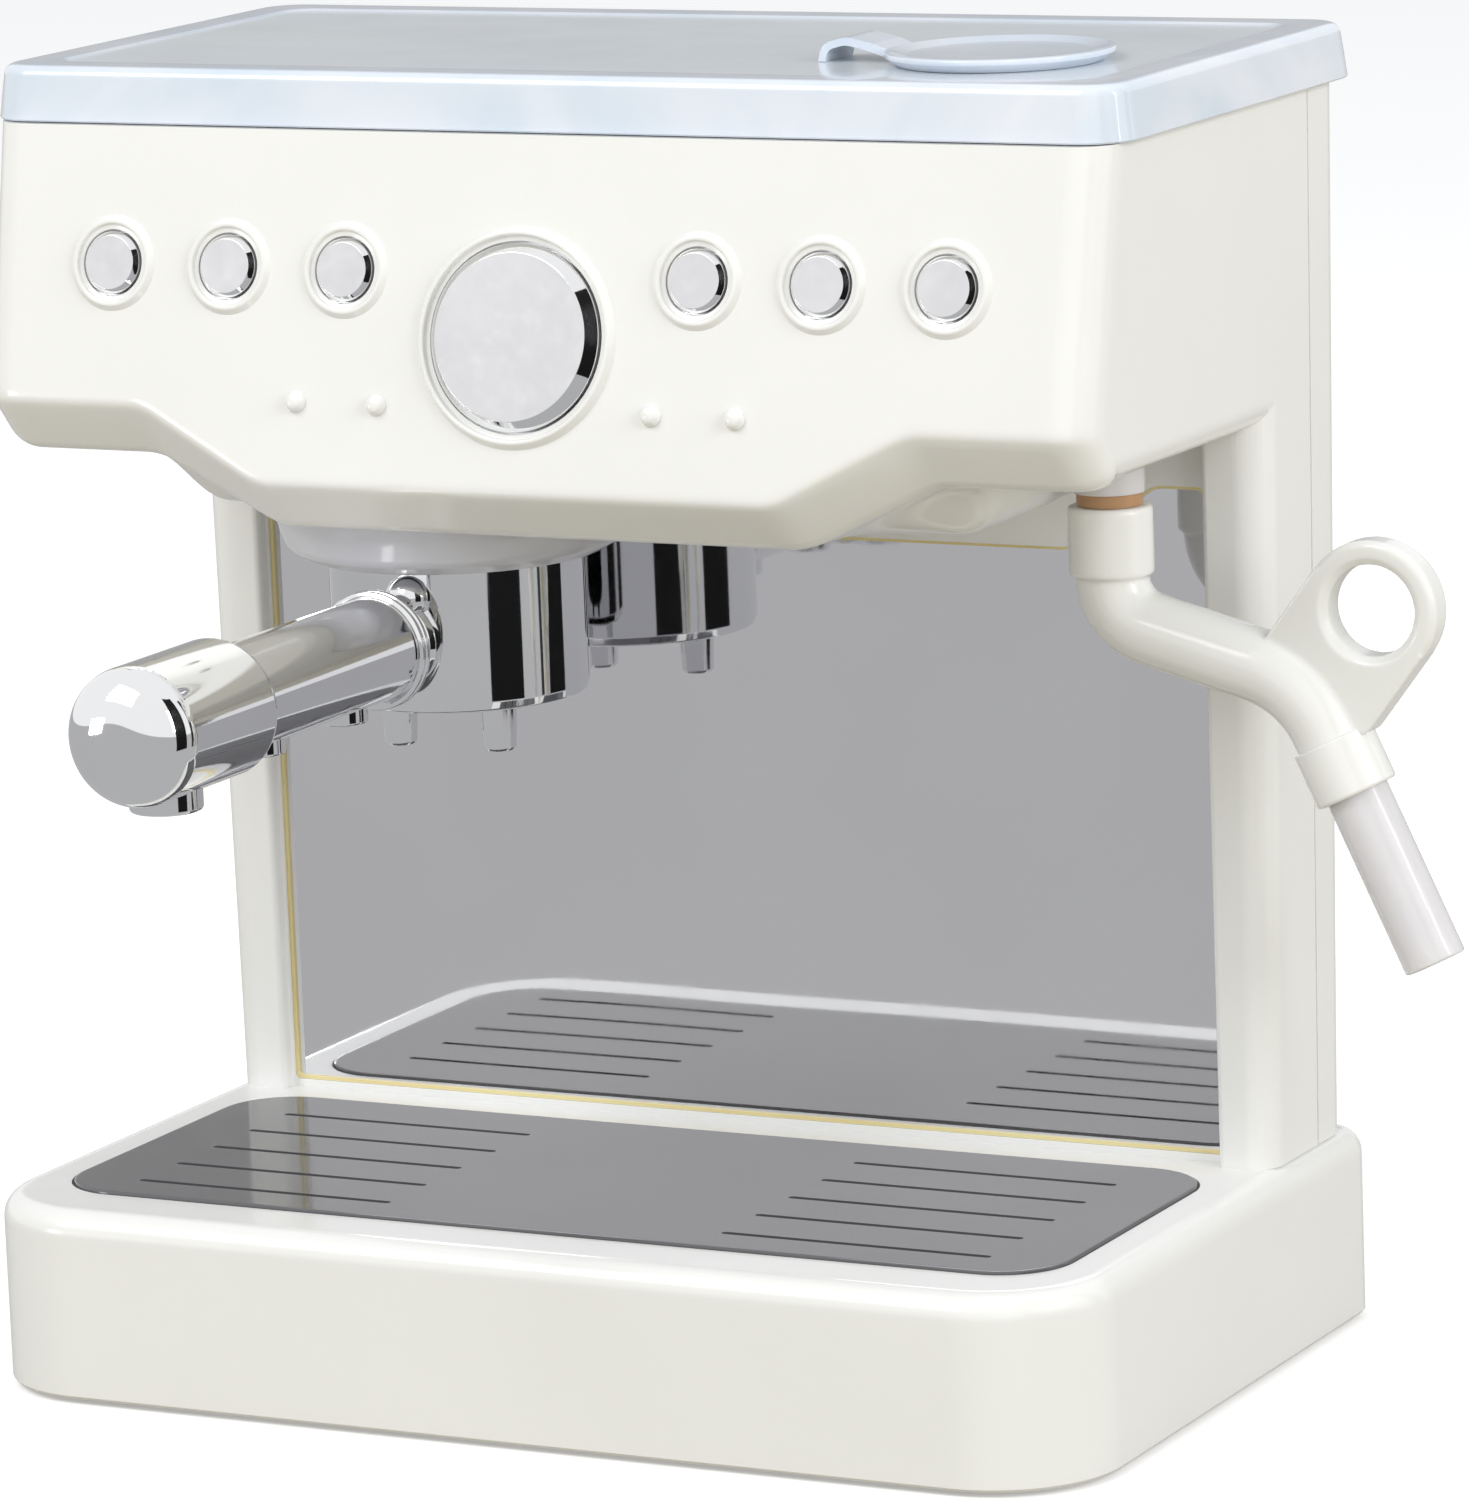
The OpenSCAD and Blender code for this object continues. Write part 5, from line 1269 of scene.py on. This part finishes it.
@dataclass
class Lid:
    """Flared lid with its inset panel, and the filler cap."""

    shop: Workshop
    w: float = 244.4
    front: float = -37.5
    back: float = 78.7
    low: float = 249.4
    high: float = 260.2
    wall: float = 2.2
    flare: float = 1.1
    corner: float = 9.4
    edge: float = 2.4
    border: float = 11.0
    panel_deep: float = 0.5
    cap_at: tuple[float, float] = (80.0, 2.5)
    cap_r: float = 22.2
    fill_r: float = 14.0

    def ring(self, tuck: float, z: float, radius: float) -> np.ndarray:
        """Outline of the lid drawn inwards, at a height."""
        return at_height(block_outline(self.w - 2 * tuck, self.front + tuck, self.back - tuck, radius, radius, 12), z)

    def cover(self) -> None:
        """Builds the lid."""
        wall, flare, deep = self.wall, self.flare, self.panel_deep
        rings = [self.ring(wall + flare, self.high - wall, 6.1), self.ring(wall + flare * 0.6, self.low + 0.6, 6.8),
                 self.ring(wall, self.low, 7.2), self.ring(0.35, self.low, 9.05), self.ring(0.0, self.low + 0.35, 9.4)]
        for t in (0.3, 0.6):
            height = self.low + (self.high - self.edge - self.low) * t
            rings.append(self.ring(flare * t, height, self.corner - flare * t))
        for angle in np.radians(np.linspace(0.0, 90.0, 9)):
            tuck = flare + self.edge * (1.0 - math.cos(angle))
            rings.append(self.ring(tuck, self.high - self.edge * (1.0 - math.sin(angle)), self.corner - tuck * 0.8))
        steps = [(-1.0, 0.0, 5.6), (-0.5, 0.08, 5.4), (0.2, deep - 0.08, 5.0), (0.8, deep, 4.8), (3.0, deep, 4.0)]
        rings += [self.ring(self.border + out, self.high - fall, radius) for out, fall, radius in steps]
        piece = Workpiece("lid_moulding", loft(rings))
        x, y = self.cap_at
        piece.cut(rod((x, y, self.low), (x, y, self.high + 2), self.fill_r, 96))
        self.shop.fit(piece.object, Slot.PEARL, Body.LID.value, ["lid"], 30.0)
        self.shop.paint(piece.object, LID_PANEL, self.high - deep - 0.05, self.high - deep + 0.05, Vector((0, 0, 1)))

    def cap(self) -> None:
        """Builds the filler cap: plug, saucer and arched finger tab."""
        r, z = self.cap_r, self.high - self.panel_deep
        saucer = lathe([(0, 0, 0), (11.8, 0, 0), (11.8, -5, 0.4), (13.5, -5, 0.4), (13.85, -4, 0.2), (13.85, 0, 0.3),
                        (r - 2.6, 0, 1.2), (r - 0.2, 1.7, 0.6), (r - 0.1, 2.6, 0.35), (r - 1.1, 2.8, 0.4),
                        (r - 4.4, 1.9, 2.0), (0, 1.2, 0)], 128, 6)
        piece = Workpiece("filler_cap_moulding", saucer)
        arch = [(1.8, 2.45, 0), (-1.5, 3.7, 3), (-7.3, 5.0, 6), (-12.6, 3.6, 4), (-13.5, 0.0, 0), (-11.9, 0.0, 0),
                (-11.3, 2.4, 3), (-7.3, 3.4, 5), (-2.0, 2.1, 3), (1.8, 0.9, 0)]
        strap = filleted(arch, True, 8)
        middle = strap.mean(axis=0)
        rings = []
        for y, tuck in ((-6.0, 0.25), (-5.7, 0.0), (5.7, 0.0), (6.0, 0.25)):
            shrunk = middle + (strap - middle) * (1.0 - tuck / 8.0)
            shrunk[:, 1] = np.maximum(shrunk[:, 1], 0.0)
            rings.append(at_depth(shrunk, y))
        piece.join(loft(rings).moved(-r, 0, 0))
        piece.shift(*self.cap_at, z)
        self.shop.fit(piece.object, Slot.PEARL, Body.CAP.value, ["filler_cap"], 35.0)

    def build(self) -> None:
        """Builds the lid's pieces."""
        self.cover()
        self.cap()


# ---------------------------------------------------------------- brew group


@dataclass
class BrewGroup:
    """Group ring, filter cup, spouts and the handle."""

    shop: Workshop
    x: float = -41.2
    y: float = 0.5
    ring_r: float = 35.1
    ring_low: float = 161.0
    ring_high: float = 173.0
    cup_r: float = 25.5
    cup_low: float = 132.5
    cup_high: float = 168.6
    spout_y: float = -6.0
    handle_z: float = 147.0
    reach: float = 36.0
    grip_r: float = 10.7
    grip_len: float = 59.0
    cap_r: float = 13.4
    cap_len: float = 38.0
    dome_power: float = 1.85

    def group(self) -> None:
        """Builds the group ring with its bayonet groove."""
        r = self.ring_r
        dish = lathe([(0, 170.5, 0), (25.9, 170.5, 0), (25.9, self.ring_low + 0.4, 0.4), (26.6, self.ring_low, 0.4),
                      (r - 6.0, self.ring_low, 3.0), (r - 1.6, self.ring_low + 2.4, 4.0), (r, self.ring_low + 7.0, 5.0),
                      (r, self.ring_high, 0), (0, self.ring_high, 0)], 160, 10)
        piece = Workpiece("group_ring_moulding", dish)
        piece.cut(drum(29.0, 165.95, 169.0, 96))
        piece.shift(self.x, self.y, 0)
        self.shop.fit(piece.object, Slot.PEARL, Body.HOUSING.value, ["group_ring"], 32.0)
        self.shop.paint(piece.object, RING_PEARL)

    def cup(self) -> None:
        """Builds the filter cup with its rounded foot and bayonet lugs."""
        r, low, high = self.cup_r, self.cup_low, self.cup_high
        wall = lathe([(0, low, 0), (r - 2.0, low, 1.0), (r - 0.5, low + 0.5, 0.6), (r, low + 2.2, 1.2), (r, high, 0.4),
                      (r - 2.0, high, 0.4), (r - 2.0, low + 2.0, 1.0), (0, low + 2.0, 0)], 192, 6)
        piece = Workpiece("filter_cup_plated", wall)
        for k in range(3):
            start = math.radians(90 + 120 * k - 17)
            arc = [start + math.radians(34) * i / 16 for i in range(17)]
            ring = np.array([[28.5 * math.cos(a), 28.5 * math.sin(a)] for a in arc]
                            + [[24.6 * math.cos(a), 24.6 * math.sin(a)] for a in reversed(arc)])
            piece.join(slab(ring, 166.0, 168.5))
        piece.shift(self.x, self.y, 0)
        self.shop.fit(piece.object, Slot.CHROME, Body.HANDLE.value, ["filter_cup"], 32.0)

    def plated(self, solid: Solid, name: str, node: str) -> None:
        """Makes a plated piece of the handle that stands for a node."""
        self.shop.fit(solid.as_object(name), Slot.CHROME, Body.HANDLE.value, [node], 32.0)

    def spouts(self) -> None:
        """Builds the two tapered spouts."""
        low = self.cup_low
        one = lathe([(1.6, low - 10, 0.2), (2.8, low - 10, 0.4), (3.3, low - 9.4, 0.4), (3.75, low, 0), (2.4, low, 0),
                     (2.4, low + 2.2, 0), (3.4, low + 2.2, 0), (3.4, low + 3.0, 0.3), (1.6, low + 3.0, 0)], 48, 4, True)
        pair = Lattice(2, 1, 22.4, 0.0).repeat(one).moved(self.x, self.y + self.spout_y, 0)
        self.plated(pair, "spout_pair_plated", "spout_pair")

    def along(self) -> Matrix:
        """Frame on the handle's axis: +Z runs away from the cup, +Y is up."""
        return Matrix.Translation((self.x, self.y, self.handle_z)) @ QUARTER

    def neck(self) -> None:
        """Builds the neck with its collar, double flange and the locking boss."""
        r, f = self.cup_r, self.reach
        collar = [(0, r - 4, 0), (8.6, r - 4, 0), (9.2, r + 0.8, 0.5), (8.4, r + 1.8, 0.5), (7.0, r + 2.6, 0.8)]
        flanges = [(6.8, 4.2, 1.5), (9.6, 3.9, 0.5), (10.8, 3.2, 0.5), (11.8, 2.7, 0.5), (11.8, 1.9, 0.4),
                   (11.1, 1.6, 0.2), (11.1, 1.3, 0.2), (11.75, 1.0, 0.4), (11.75, 0.3, 0.4), (11.0, 0, 0.3), (0, 0, 0)]
        neck = lathe(collar + [(radius, f - before, fillet) for radius, before, fillet in flanges], 144, 5)
        piece = Workpiece("handle_neck_plated", neck.placed(self.along()))
        arc = np.radians(np.linspace(-90.0, 90.0, 33))
        ball = [(0.0 if i in (0, 32) else 4.3 * math.cos(a), 4.3 * math.sin(a), 0.0) for i, a in enumerate(arc)]
        boss = lathe(ball, 64)
        piece.join(boss.moved(self.x + 3.0, self.y - r + 0.7, self.handle_z + 9.0))
        piece.cut(rod((self.x, self.y, 100), (self.x, self.y, 200), r + 0.02, 192))
        self.shop.fit(piece.object, Slot.CHROME, Body.HANDLE.value, ["handle_neck"], 32.0)

    def grip(self) -> None:
        """Builds the grip's upper shell and its recessed underside."""
        place = self.along() @ Matrix.Translation((0, 0, self.reach))
        length, part = self.grip_len, -5.6

        def bar(radius: float, sides: int) -> Solid:
            """A round bar as long as the grip."""
            return lathe([(0, 0, 0), (radius, 0, 0.5), (radius, length, 0.2), (0, length, 0)], sides)

        shell = Workpiece("handle_grip_plated", bar(self.grip_r, 144))
        shell.cut(box_solid((-20, -26, -1), (20, part, length + 1)))
        shell.join(rod((0, 0, length - 4), (0, 0, length + 27), 7.5, 64))
        self.plated(taken(shell).placed(place), "handle_grip_plated", "handle_grip")
        strip = Workpiece("handle_underside_plated", bar(10.0, 120))
        strip.keep(box_solid((-20, -26, 0), (20, part, length)))
        for d in (12.0, 44.0):
            strip.join(rod((0, part, d), (0, -11.8, d), 5.0, 64, 0.6))
            strip.cut(rod((0, -9.0, d), (0, -14.0, d), 3.0, 48), rod((0, -4.0, d), (0, -14.0, d), 1.6, 32))
        self.plated(taken(strip).placed(place), "handle_underside_plated", "handle_underside")

    def end_cap(self) -> None:
        """Builds the fat rounded end of the handle with the boss below it."""
        place = self.along() @ Matrix.Translation((0, 0, self.reach + self.grip_len))
        r, length = self.cap_r, self.cap_len
        radii = r * (1.0 - np.linspace(1.0, 0.0, 61) ** 2.0)
        slope = np.clip(radii / r, 0.0, 1.0) ** self.dome_power
        fall = slope / np.sqrt(1.0 - np.minimum(slope, 0.999) ** 2)
        drop = np.concatenate([[0.0], np.cumsum(0.5 * (fall[1:] + fall[:-1]) * np.diff(radii))])
        dome = [(float(a), length - float(b), 0.0) for a, b in zip(radii[::-1], drop[::-1])]
        body = lathe([(0, 0, 0), (r - 0.2, 0, 0.3), (r, 1.0, 0.4)] + dome, 160)
        piece = Workpiece("handle_end_plated", body)
        piece.join(rod((0, 0, 20), (0, -r - 2.4, 20), 7.0, 80, 0.8))
        piece.cut(rod((0, -r + 3, 20), (0, -r - 12, 20), 3.0, 48), rod((0, 0, -1), (0, 0, 27.3), 7.6, 64),
                  rod((0, 0, 20), (0, -r - 12, 20), 1.6, 32))
        self.plated(taken(piece).placed(place), "handle_end_plated", "handle_end_cap")

    def build(self) -> None:
        """Builds the group's and the handle's pieces."""
        self.group()
        self.cup()
        self.spouts()
        self.neck()
        self.grip()
        self.end_cap()


# ---------------------------------------------------------------- keys


@dataclass
class Keys:
    """Six small plated keys and the brew key."""

    shop: Workshop
    housing: Housing
    proud: float = 1.5
    brew_proud: float = 2.9
    small_r: float = 6.1
    brew_r: float = 18.0

    def blank(self, flange: float, bevel: tuple[float, ...], sides: int, steps: int) -> Solid:
        """A key's turned body.

        Args:
            flange: How far its hidden flange stands out.
            bevel: Radius, height of the face, drop and inset of the bevel, and the fillets at its foot and top.
            sides: Segments round the axis.
            steps: Segments of each fillet.

        Returns:
            The body about +Z.
        """
        r, face, drop, tuck, foot, top = bevel
        back, thick = -2.4, 1.2
        return lathe([(0, back - thick, 0), (r + flange, back - thick, 0), (r + flange, back, 0), (r, back, 0),
                      (r, face - drop, foot), (r - tuck, face, top), (0, face, 0)], sides, steps)

    def build(self) -> None:
        """Builds every key in its bezel."""
        small = self.blank(1.8, (self.small_r, self.proud, 1.0, 0.85, 0.2, 0.12), 96, 5)
        brew = self.blank(2.0, (self.brew_r, self.brew_proud, 2.2, 1.9, 0.4, 0.2), 160, 8)
        front = self.housing.on_panel(0, 0).to_3x3() @ Vector((0, 0, 1))
        keys = [(small, x, self.housing.key_z, "key_%d" % i, "button_%d" % i)
                for i, x in enumerate(self.housing.key_places(), 1)]
        keys.append((brew, 0.0, self.housing.brew_z, Body.BREW.value, "brew_button"))
        for solid, x, z, body, node in keys:
            piece = solid.placed(self.housing.on_panel(x, z)).as_object(body + "_plated")
            self.shop.fit(piece, Slot.CHROME, body, [node], 40.0)
            # Faces that look out of the panel get the darker plating: painted shade on the key faces.
            self.shop.paint(piece, KEY_FACE_PAINTED_SHADE, 0.0, 300.0, front)


# ---------------------------------------------------------------- steam wand


@dataclass
class SteamWand:
    """Collar, elbow, arm, finger ring, sleeve and the clear outlet tube."""

    shop: Workshop
    x: float = 96.0
    y: float = 11.5
    collar_r: float = 8.3
    collar_low: float = 160.5
    collar_high: float = 174.0
    arm_r: float = 7.2
    elbow: float = 10.8
    bend: float = 22.0
    arm_len: float = 22.8
    arm_slope: float = 15.0
    tube_slope: float = 64.5
    sleeve_r: float = 8.1
    sleeve_len: float = 11.2
    tube_r: float = 6.1
    tube_bore: float = 4.6
    sleeve_bore: float = 6.15
    tube_len: float = 35.5
    ring_at: tuple[float, float] = (54.3, 156.2)
    ring_r: float = 13.5
    hole_r: float = 8.8
    ring_t: float = 7.0

    def facing(self, place: Vector, way: Vector) -> Matrix:
        """Frame at a place whose +Z runs along a direction."""
        return Matrix.Translation(place) @ way.to_track_quat("Z", "Y").to_matrix().to_4x4()

    def path(self) -> tuple[list[Vector], Vector, Vector, Vector]:
        """Middle line of the arm in the wand's plane.

        Returns:
            The line's points, the end of the bend, the tube's direction and the sleeve's end.
        """
        a, b = math.radians(self.arm_slope), math.radians(self.tube_slope)
        points = [Vector((0, 0, self.collar_low + 2.0))]
        for k in range(13):
            turn = math.pi + (math.pi / 2 - a) * k / 12
            points.append(Vector((self.elbow + self.elbow * math.cos(turn), 0,
                                  self.collar_low + self.elbow * math.sin(turn))))
        start = points[-1]
        end = start + self.arm_len * Vector((math.cos(a), 0, -math.sin(a)))
        middle = end - self.bend * Vector((math.sin(a), 0, math.cos(a)))
        for k in range(13):
            turn = math.pi / 2 - a + (a - b) * k / 12
            points.append(middle + self.bend * Vector((math.cos(turn), 0, math.sin(turn))))
        way = Vector((math.cos(b), 0, -math.sin(b)))
        bend_end = points[-1]
        points.append(bend_end + 3.0 * way)
        return points, bend_end, way, bend_end + (2.0 + self.sleeve_len) * way

    def sweep(self, points: Sequence[Vector], radius: float, sides: int = 64) -> Solid:
        """A round bar along points that lie in the XZ plane.

        Args:
            points: Middle line of the bar.
            radius: Radius of the bar.
            sides: Segments round it.

        Returns:
            The bar.
        """
        rings = []
        for i, here in enumerate(points):
            way = (points[min(i + 1, len(points) - 1)] - points[max(i - 1, 0)]).normalized()
            side = Vector((-way.z, 0, way.x))
            turn = np.linspace(0, 2 * math.pi, sides, endpoint=False)
            depth = Vector((0, 1, 0))
            rings.append(np.array([here + radius * (math.cos(t) * side + math.sin(t) * depth) for t in turn]))
        return loft(rings)

    def arm(self) -> None:
        """Builds the moulded arm with its finger ring, softened where its limbs meet."""
        points, bend_end, way, sleeve_end = self.path()
        piece = Workpiece("wand_arm_moulding", self.sweep(points, self.arm_r))
        low, high, r = self.collar_low, self.collar_high, self.collar_r
        piece.join(lathe([(0, low, 0), (r, low, 0.6), (r, high, 0.9), (0, high, 0)], 96))
        ring = Matrix.Translation((self.ring_at[0], 0, self.ring_at[1])) @ QUARTER
        t, r = self.ring_t / 2, self.ring_r
        disc = lathe([(0, -t, 0), (r - 0.8, -t, 0.3), (r, -t + 0.8, 0.4), (r, t - 0.9, 0.5), (r - 0.9, t, 0.5),
                      (0, t, 0)], 128)
        turn = math.radians(233)
        out, side = Vector((math.cos(turn), 0, math.sin(turn))), Vector((-math.sin(turn), 0, math.cos(turn)))
        middle = Vector((self.ring_at[0], 0, self.ring_at[1]))
        half = r - 0.06
        corners = [middle - half * side, middle - half * side + 21 * out, bend_end - 4 * way, bend_end + 3.5 * way,
                   middle + half * side + 19 * out, middle + half * side]
        strap = loft([np.array([[c.x, y, c.z] for c in corners]) for y in (-t, t)])
        piece.join(strap, disc.placed(ring))
        piece.cut(lathe([(0, -9, 0), (self.hole_r, -9, 0), (self.hole_r, t - 1.3, 0), (self.hole_r + 1.5, t + 0.1, 0),
                         (self.hole_r + 2.5, 9, 0), (0, 9, 0)], 128).placed(ring))
        piece.soften(0.42, 5)
        bore, length = self.sleeve_bore, self.sleeve_len
        sleeve = lathe([(bore, 0, 0), (self.sleeve_r, 0, 0.4), (self.sleeve_r, length, 0.7), (bore, length, 0.2)],
                       96, 5, True)
        piece.join(sleeve.placed(self.facing(bend_end + 2.0 * way, way)))
        piece.cut(rod((0, 0, low + 3), (0, 0, high + 1), 5.06, 64),
                  rod(sleeve_end - 8 * way, sleeve_end + 4 * way, bore, 64))
        solid = taken(piece).moved(self.x, self.y, 0)
        self.shop.fit(solid.as_object("wand_arm_moulding"), Slot.IVORY, Body.WAND.value, ["wand_arm"], 40.0)

    def tube(self) -> None:
        """Builds the clear outlet tube."""
        _, _, way, sleeve_end = self.path()
        turned = self.facing(sleeve_end - 8 * way + Vector((self.x, self.y, 0)), way)
        r, bore, length = self.tube_r, self.tube_bore, 8 + self.tube_len
        pipe = lathe([(0, 0, 0), (r, 0, 0), (r, length, 0.6), (bore, length, 0.4), (bore, 1.5, 0), (0, 1.5, 0)], 96, 5)
        piece = pipe.placed(turned).as_object("wand_tube_clear")
        self.shop.fit(piece, Slot.CLEAR, Body.WAND.value, ["wand_tube"], 32.0)
        self.shop.paint(piece, MILKY)

    def build(self) -> None:
        """Builds the wand's pieces."""
        self.arm()
        self.tube()


# ---------------------------------------------------------------- studio


@dataclass
class Studio:
    """Camera, floor, world, lamps and reflection boards."""

    camera_at: tuple[float, float, float] = (0.7332, -1.3851, 0.4289)
    azimuth: float = 27.27
    elevation: float = 11.07
    roll: float = -2.18
    lens: float = 194.94
    daylight: float = 0.6
    floor_lift: float = 0.3
    floor_bounce: tuple[float, float, float] = (0.5, 0.46, 0.36)
    floor_mirrored: float = 0.5

    def camera(self) -> None:
        """Places the camera at the fitted viewing angle."""
        az, el, roll = (math.radians(v) for v in (self.azimuth, self.elevation, self.roll))
        back = Vector((math.sin(az) * math.cos(el), -math.cos(az) * math.cos(el), math.sin(el)))
        right = Vector((math.cos(az), math.sin(az), 0.0))
        up = back.cross(right)
        right, up = math.cos(roll) * right + math.sin(roll) * up, -math.sin(roll) * right + math.cos(roll) * up
        data = bpy.data.cameras.new("view")
        data.lens = self.lens
        data.sensor_width = 36.0
        data.clip_end = 50.0
        camera = bpy.data.objects.new("view", data)
        turn = Matrix((right, up, back)).transposed().to_4x4()
        camera.matrix_world = Matrix.Translation(self.camera_at) @ turn
        bpy.context.scene.collection.objects.link(camera)
        bpy.context.scene.camera = camera

    def world(self) -> None:
        """White for camera, glossy and transmitted rays, a plain level for the rest."""
        world = bpy.data.worlds.new("daylight")
        world.use_nodes = True
        bpy.context.scene.world = world
        tree = world.node_tree
        tree.nodes.clear()
        ray = add_node(tree, "ShaderNodeLightPath").outputs
        seen = either(tree, either(tree, ray["Is Camera Ray"], ray["Is Glossy Ray"]), ray["Is Transmission Ray"])
        plain = add_node(tree, "ShaderNodeBackground", {"Color": (0.97, 0.985, 1.0, 1.0), "Strength": self.daylight})
        white = add_node(tree, "ShaderNodeBackground", {"Color": (1.0, 1.0, 1.0, 1.0)})
        mix = add_node(tree, "ShaderNodeMixShader", {0: seen, 1: plain.outputs[0], 2: white.outputs[0]})
        add_node(tree, "ShaderNodeOutputWorld", {"Surface": mix.outputs[0]})

    def floor(self) -> None:
        """A floor that is white with the object's shadow when seen, grey in reflections and warm as a bounce."""
        mesh = bpy.data.meshes.new("studio_floor")
        mesh.from_pydata([(-30, -30, 0), (30, -30, 0), (30, 30, 0), (-30, 30, 0)], [], [(0, 1, 2, 3)])
        floor = bpy.data.objects.new("studio_floor", mesh)
        bpy.context.scene.collection.objects.link(floor)
        paint = bpy.data.materials.new("studio_floor")
        paint.use_nodes = True
        tree = paint.node_tree
        seen = plug(tree.nodes["Principled BSDF"], {
            "Base Color": (0.95, 0.95, 0.95, 1.0), "Roughness": 0.9, "Specular IOR Level": 0.0,
            "Emission Color": (1.0, 1.0, 1.0, 1.0), "Emission Strength": self.floor_lift})
        bounce = add_node(tree, "ShaderNodeBsdfDiffuse", {"Color": (*self.floor_bounce, 1.0)})
        mirrored = add_node(tree, "ShaderNodeEmission", {"Color": (0.985, 0.985, 1.0, 1.0),
                                                         "Strength": self.floor_mirrored})
        ray = add_node(tree, "ShaderNodeLightPath").outputs
        direct = either(tree, ray["Is Camera Ray"], ray["Is Transmission Ray"])
        rest = add_node(tree, "ShaderNodeMixShader", {0: ray["Is Glossy Ray"], 1: bounce.outputs[0],
                                                      2: mirrored.outputs[0]})
        both = add_node(tree, "ShaderNodeMixShader", {0: direct, 1: rest.outputs[0], 2: seen.outputs[0]})
        plug(tree.nodes["Material Output"], {"Surface": both.outputs[0]})
        mesh.materials.append(paint)

    def lamp(self, name: str, place: tuple[float, float, float], aim: tuple[float, float, float], size: float,
             power: float) -> None:
        """A soft square lamp.

        Args:
            name: Name of the lamp.
            place: Where it stands, in metres.
            aim: The point it faces.
            size: Edge length in metres.
            power: Watts.
        """
        data = bpy.data.lights.new(name, "AREA")
        data.size = size
        data.energy = power
        lamp = bpy.data.objects.new(name, data)
        lamp.location = place
        lamp.rotation_euler = (Vector(aim) - Vector(place)).to_track_quat("-Z", "Y").to_euler()
        bpy.context.scene.collection.objects.link(lamp)

    def board(self, name: str, span: tuple[float, float], heights: tuple[float, float], radius: float,
              grey: tuple[float, float]) -> None:
        """A curved reflection board that only glossy surfaces see.

        Args:
            name: Name of the board.
            span: First and last azimuth from -Y towards +X, in degrees.
            heights: Lower and upper edge in metres.
            radius: Distance from the object's middle in metres.
            grey: Brightness at the lower and upper edge.
        """
        points, faces = [], []
        steps = 24
        for i in range(steps + 1):
            angle = math.radians(span[0] + (span[1] - span[0]) * i / steps)
            for z in heights:
                points.append((radius * math.sin(angle), -radius * math.cos(angle), z))
            if i < steps:
                faces.append((2 * i, 2 * i + 2, 2 * i + 3, 2 * i + 1))
        mesh = bpy.data.meshes.new(name)
        mesh.from_pydata(points, [], faces)
        board = bpy.data.objects.new(name, mesh)
        bpy.context.scene.collection.objects.link(board)
        paint = bpy.data.materials.new(name)
        paint.use_nodes = True
        tree = paint.node_tree
        tree.nodes.clear()
        place = add_node(tree, "ShaderNodeTexCoord")
        split = add_node(tree, "ShaderNodeSeparateXYZ", {0: place.outputs["Object"]})
        rise = add_node(tree, "ShaderNodeMapRange", {"From Min": heights[0], "From Max": heights[1], "To Min": grey[0],
                                                     "To Max": grey[1], "Value": split.outputs["Z"]})
        glow = add_node(tree, "ShaderNodeEmission", {"Strength": rise.outputs["Result"]})
        add_node(tree, "ShaderNodeOutputMaterial", {"Surface": glow.outputs[0]})
        mesh.materials.append(paint)
        board.visible_camera = False
        board.visible_diffuse = False
        board.visible_transmission = False
        board.visible_shadow = False

    def build(self) -> None:
        """Sets up the whole studio."""
        self.camera()
        self.world()
        self.floor()
        self.lamp("key_lamp", (-0.8, -1.5, 1.7), (0, 0, 0.13), 1.3, 24.5)
        self.lamp("low_lamp", (-1.0, -1.1, 0.1), (0, 0, 0.15), 0.35, 2.2)
        self.lamp("fill_lamp", (1.8, -0.5, 0.9), (0, 0, 0.13), 1.1, 22.0)
        self.board("right_flag", (51.0, 84.0), (0.0, 0.75), 0.44, (0.01, 0.02))
        self.board("side_flag", (104.0, 115.0), (0.0, 0.6), 0.44, (0.03, 0.05))
        self.board("side_board", (121.0, 161.0), (0.0, 0.3), 0.44, (0.35, 0.5))
        self.board("lid_board", (-178.0, -128.0), (0.15, 0.8), 0.6, (0.4, 0.4))
        bpy.context.scene.view_settings.view_transform = "Standard"


def main() -> None:
    logging.basicConfig(level=logging.INFO, format="%(name)s: %(message)s")
    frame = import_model()
    Studio().build()
    shop = Workshop(frame["nodes"])
    housing = Housing(shop)
    for part in (housing, Base(shop), Lid(shop), BrewGroup(shop), Keys(shop, housing), SteamWand(shop)):
        part.build()
    for slot, names in DRESSED.items():
        shop.dress_nodes(slot, names)
    shop.paint(shop.nodes["wand_stem"], MILKY)


if __name__ == "__main__":
    main()
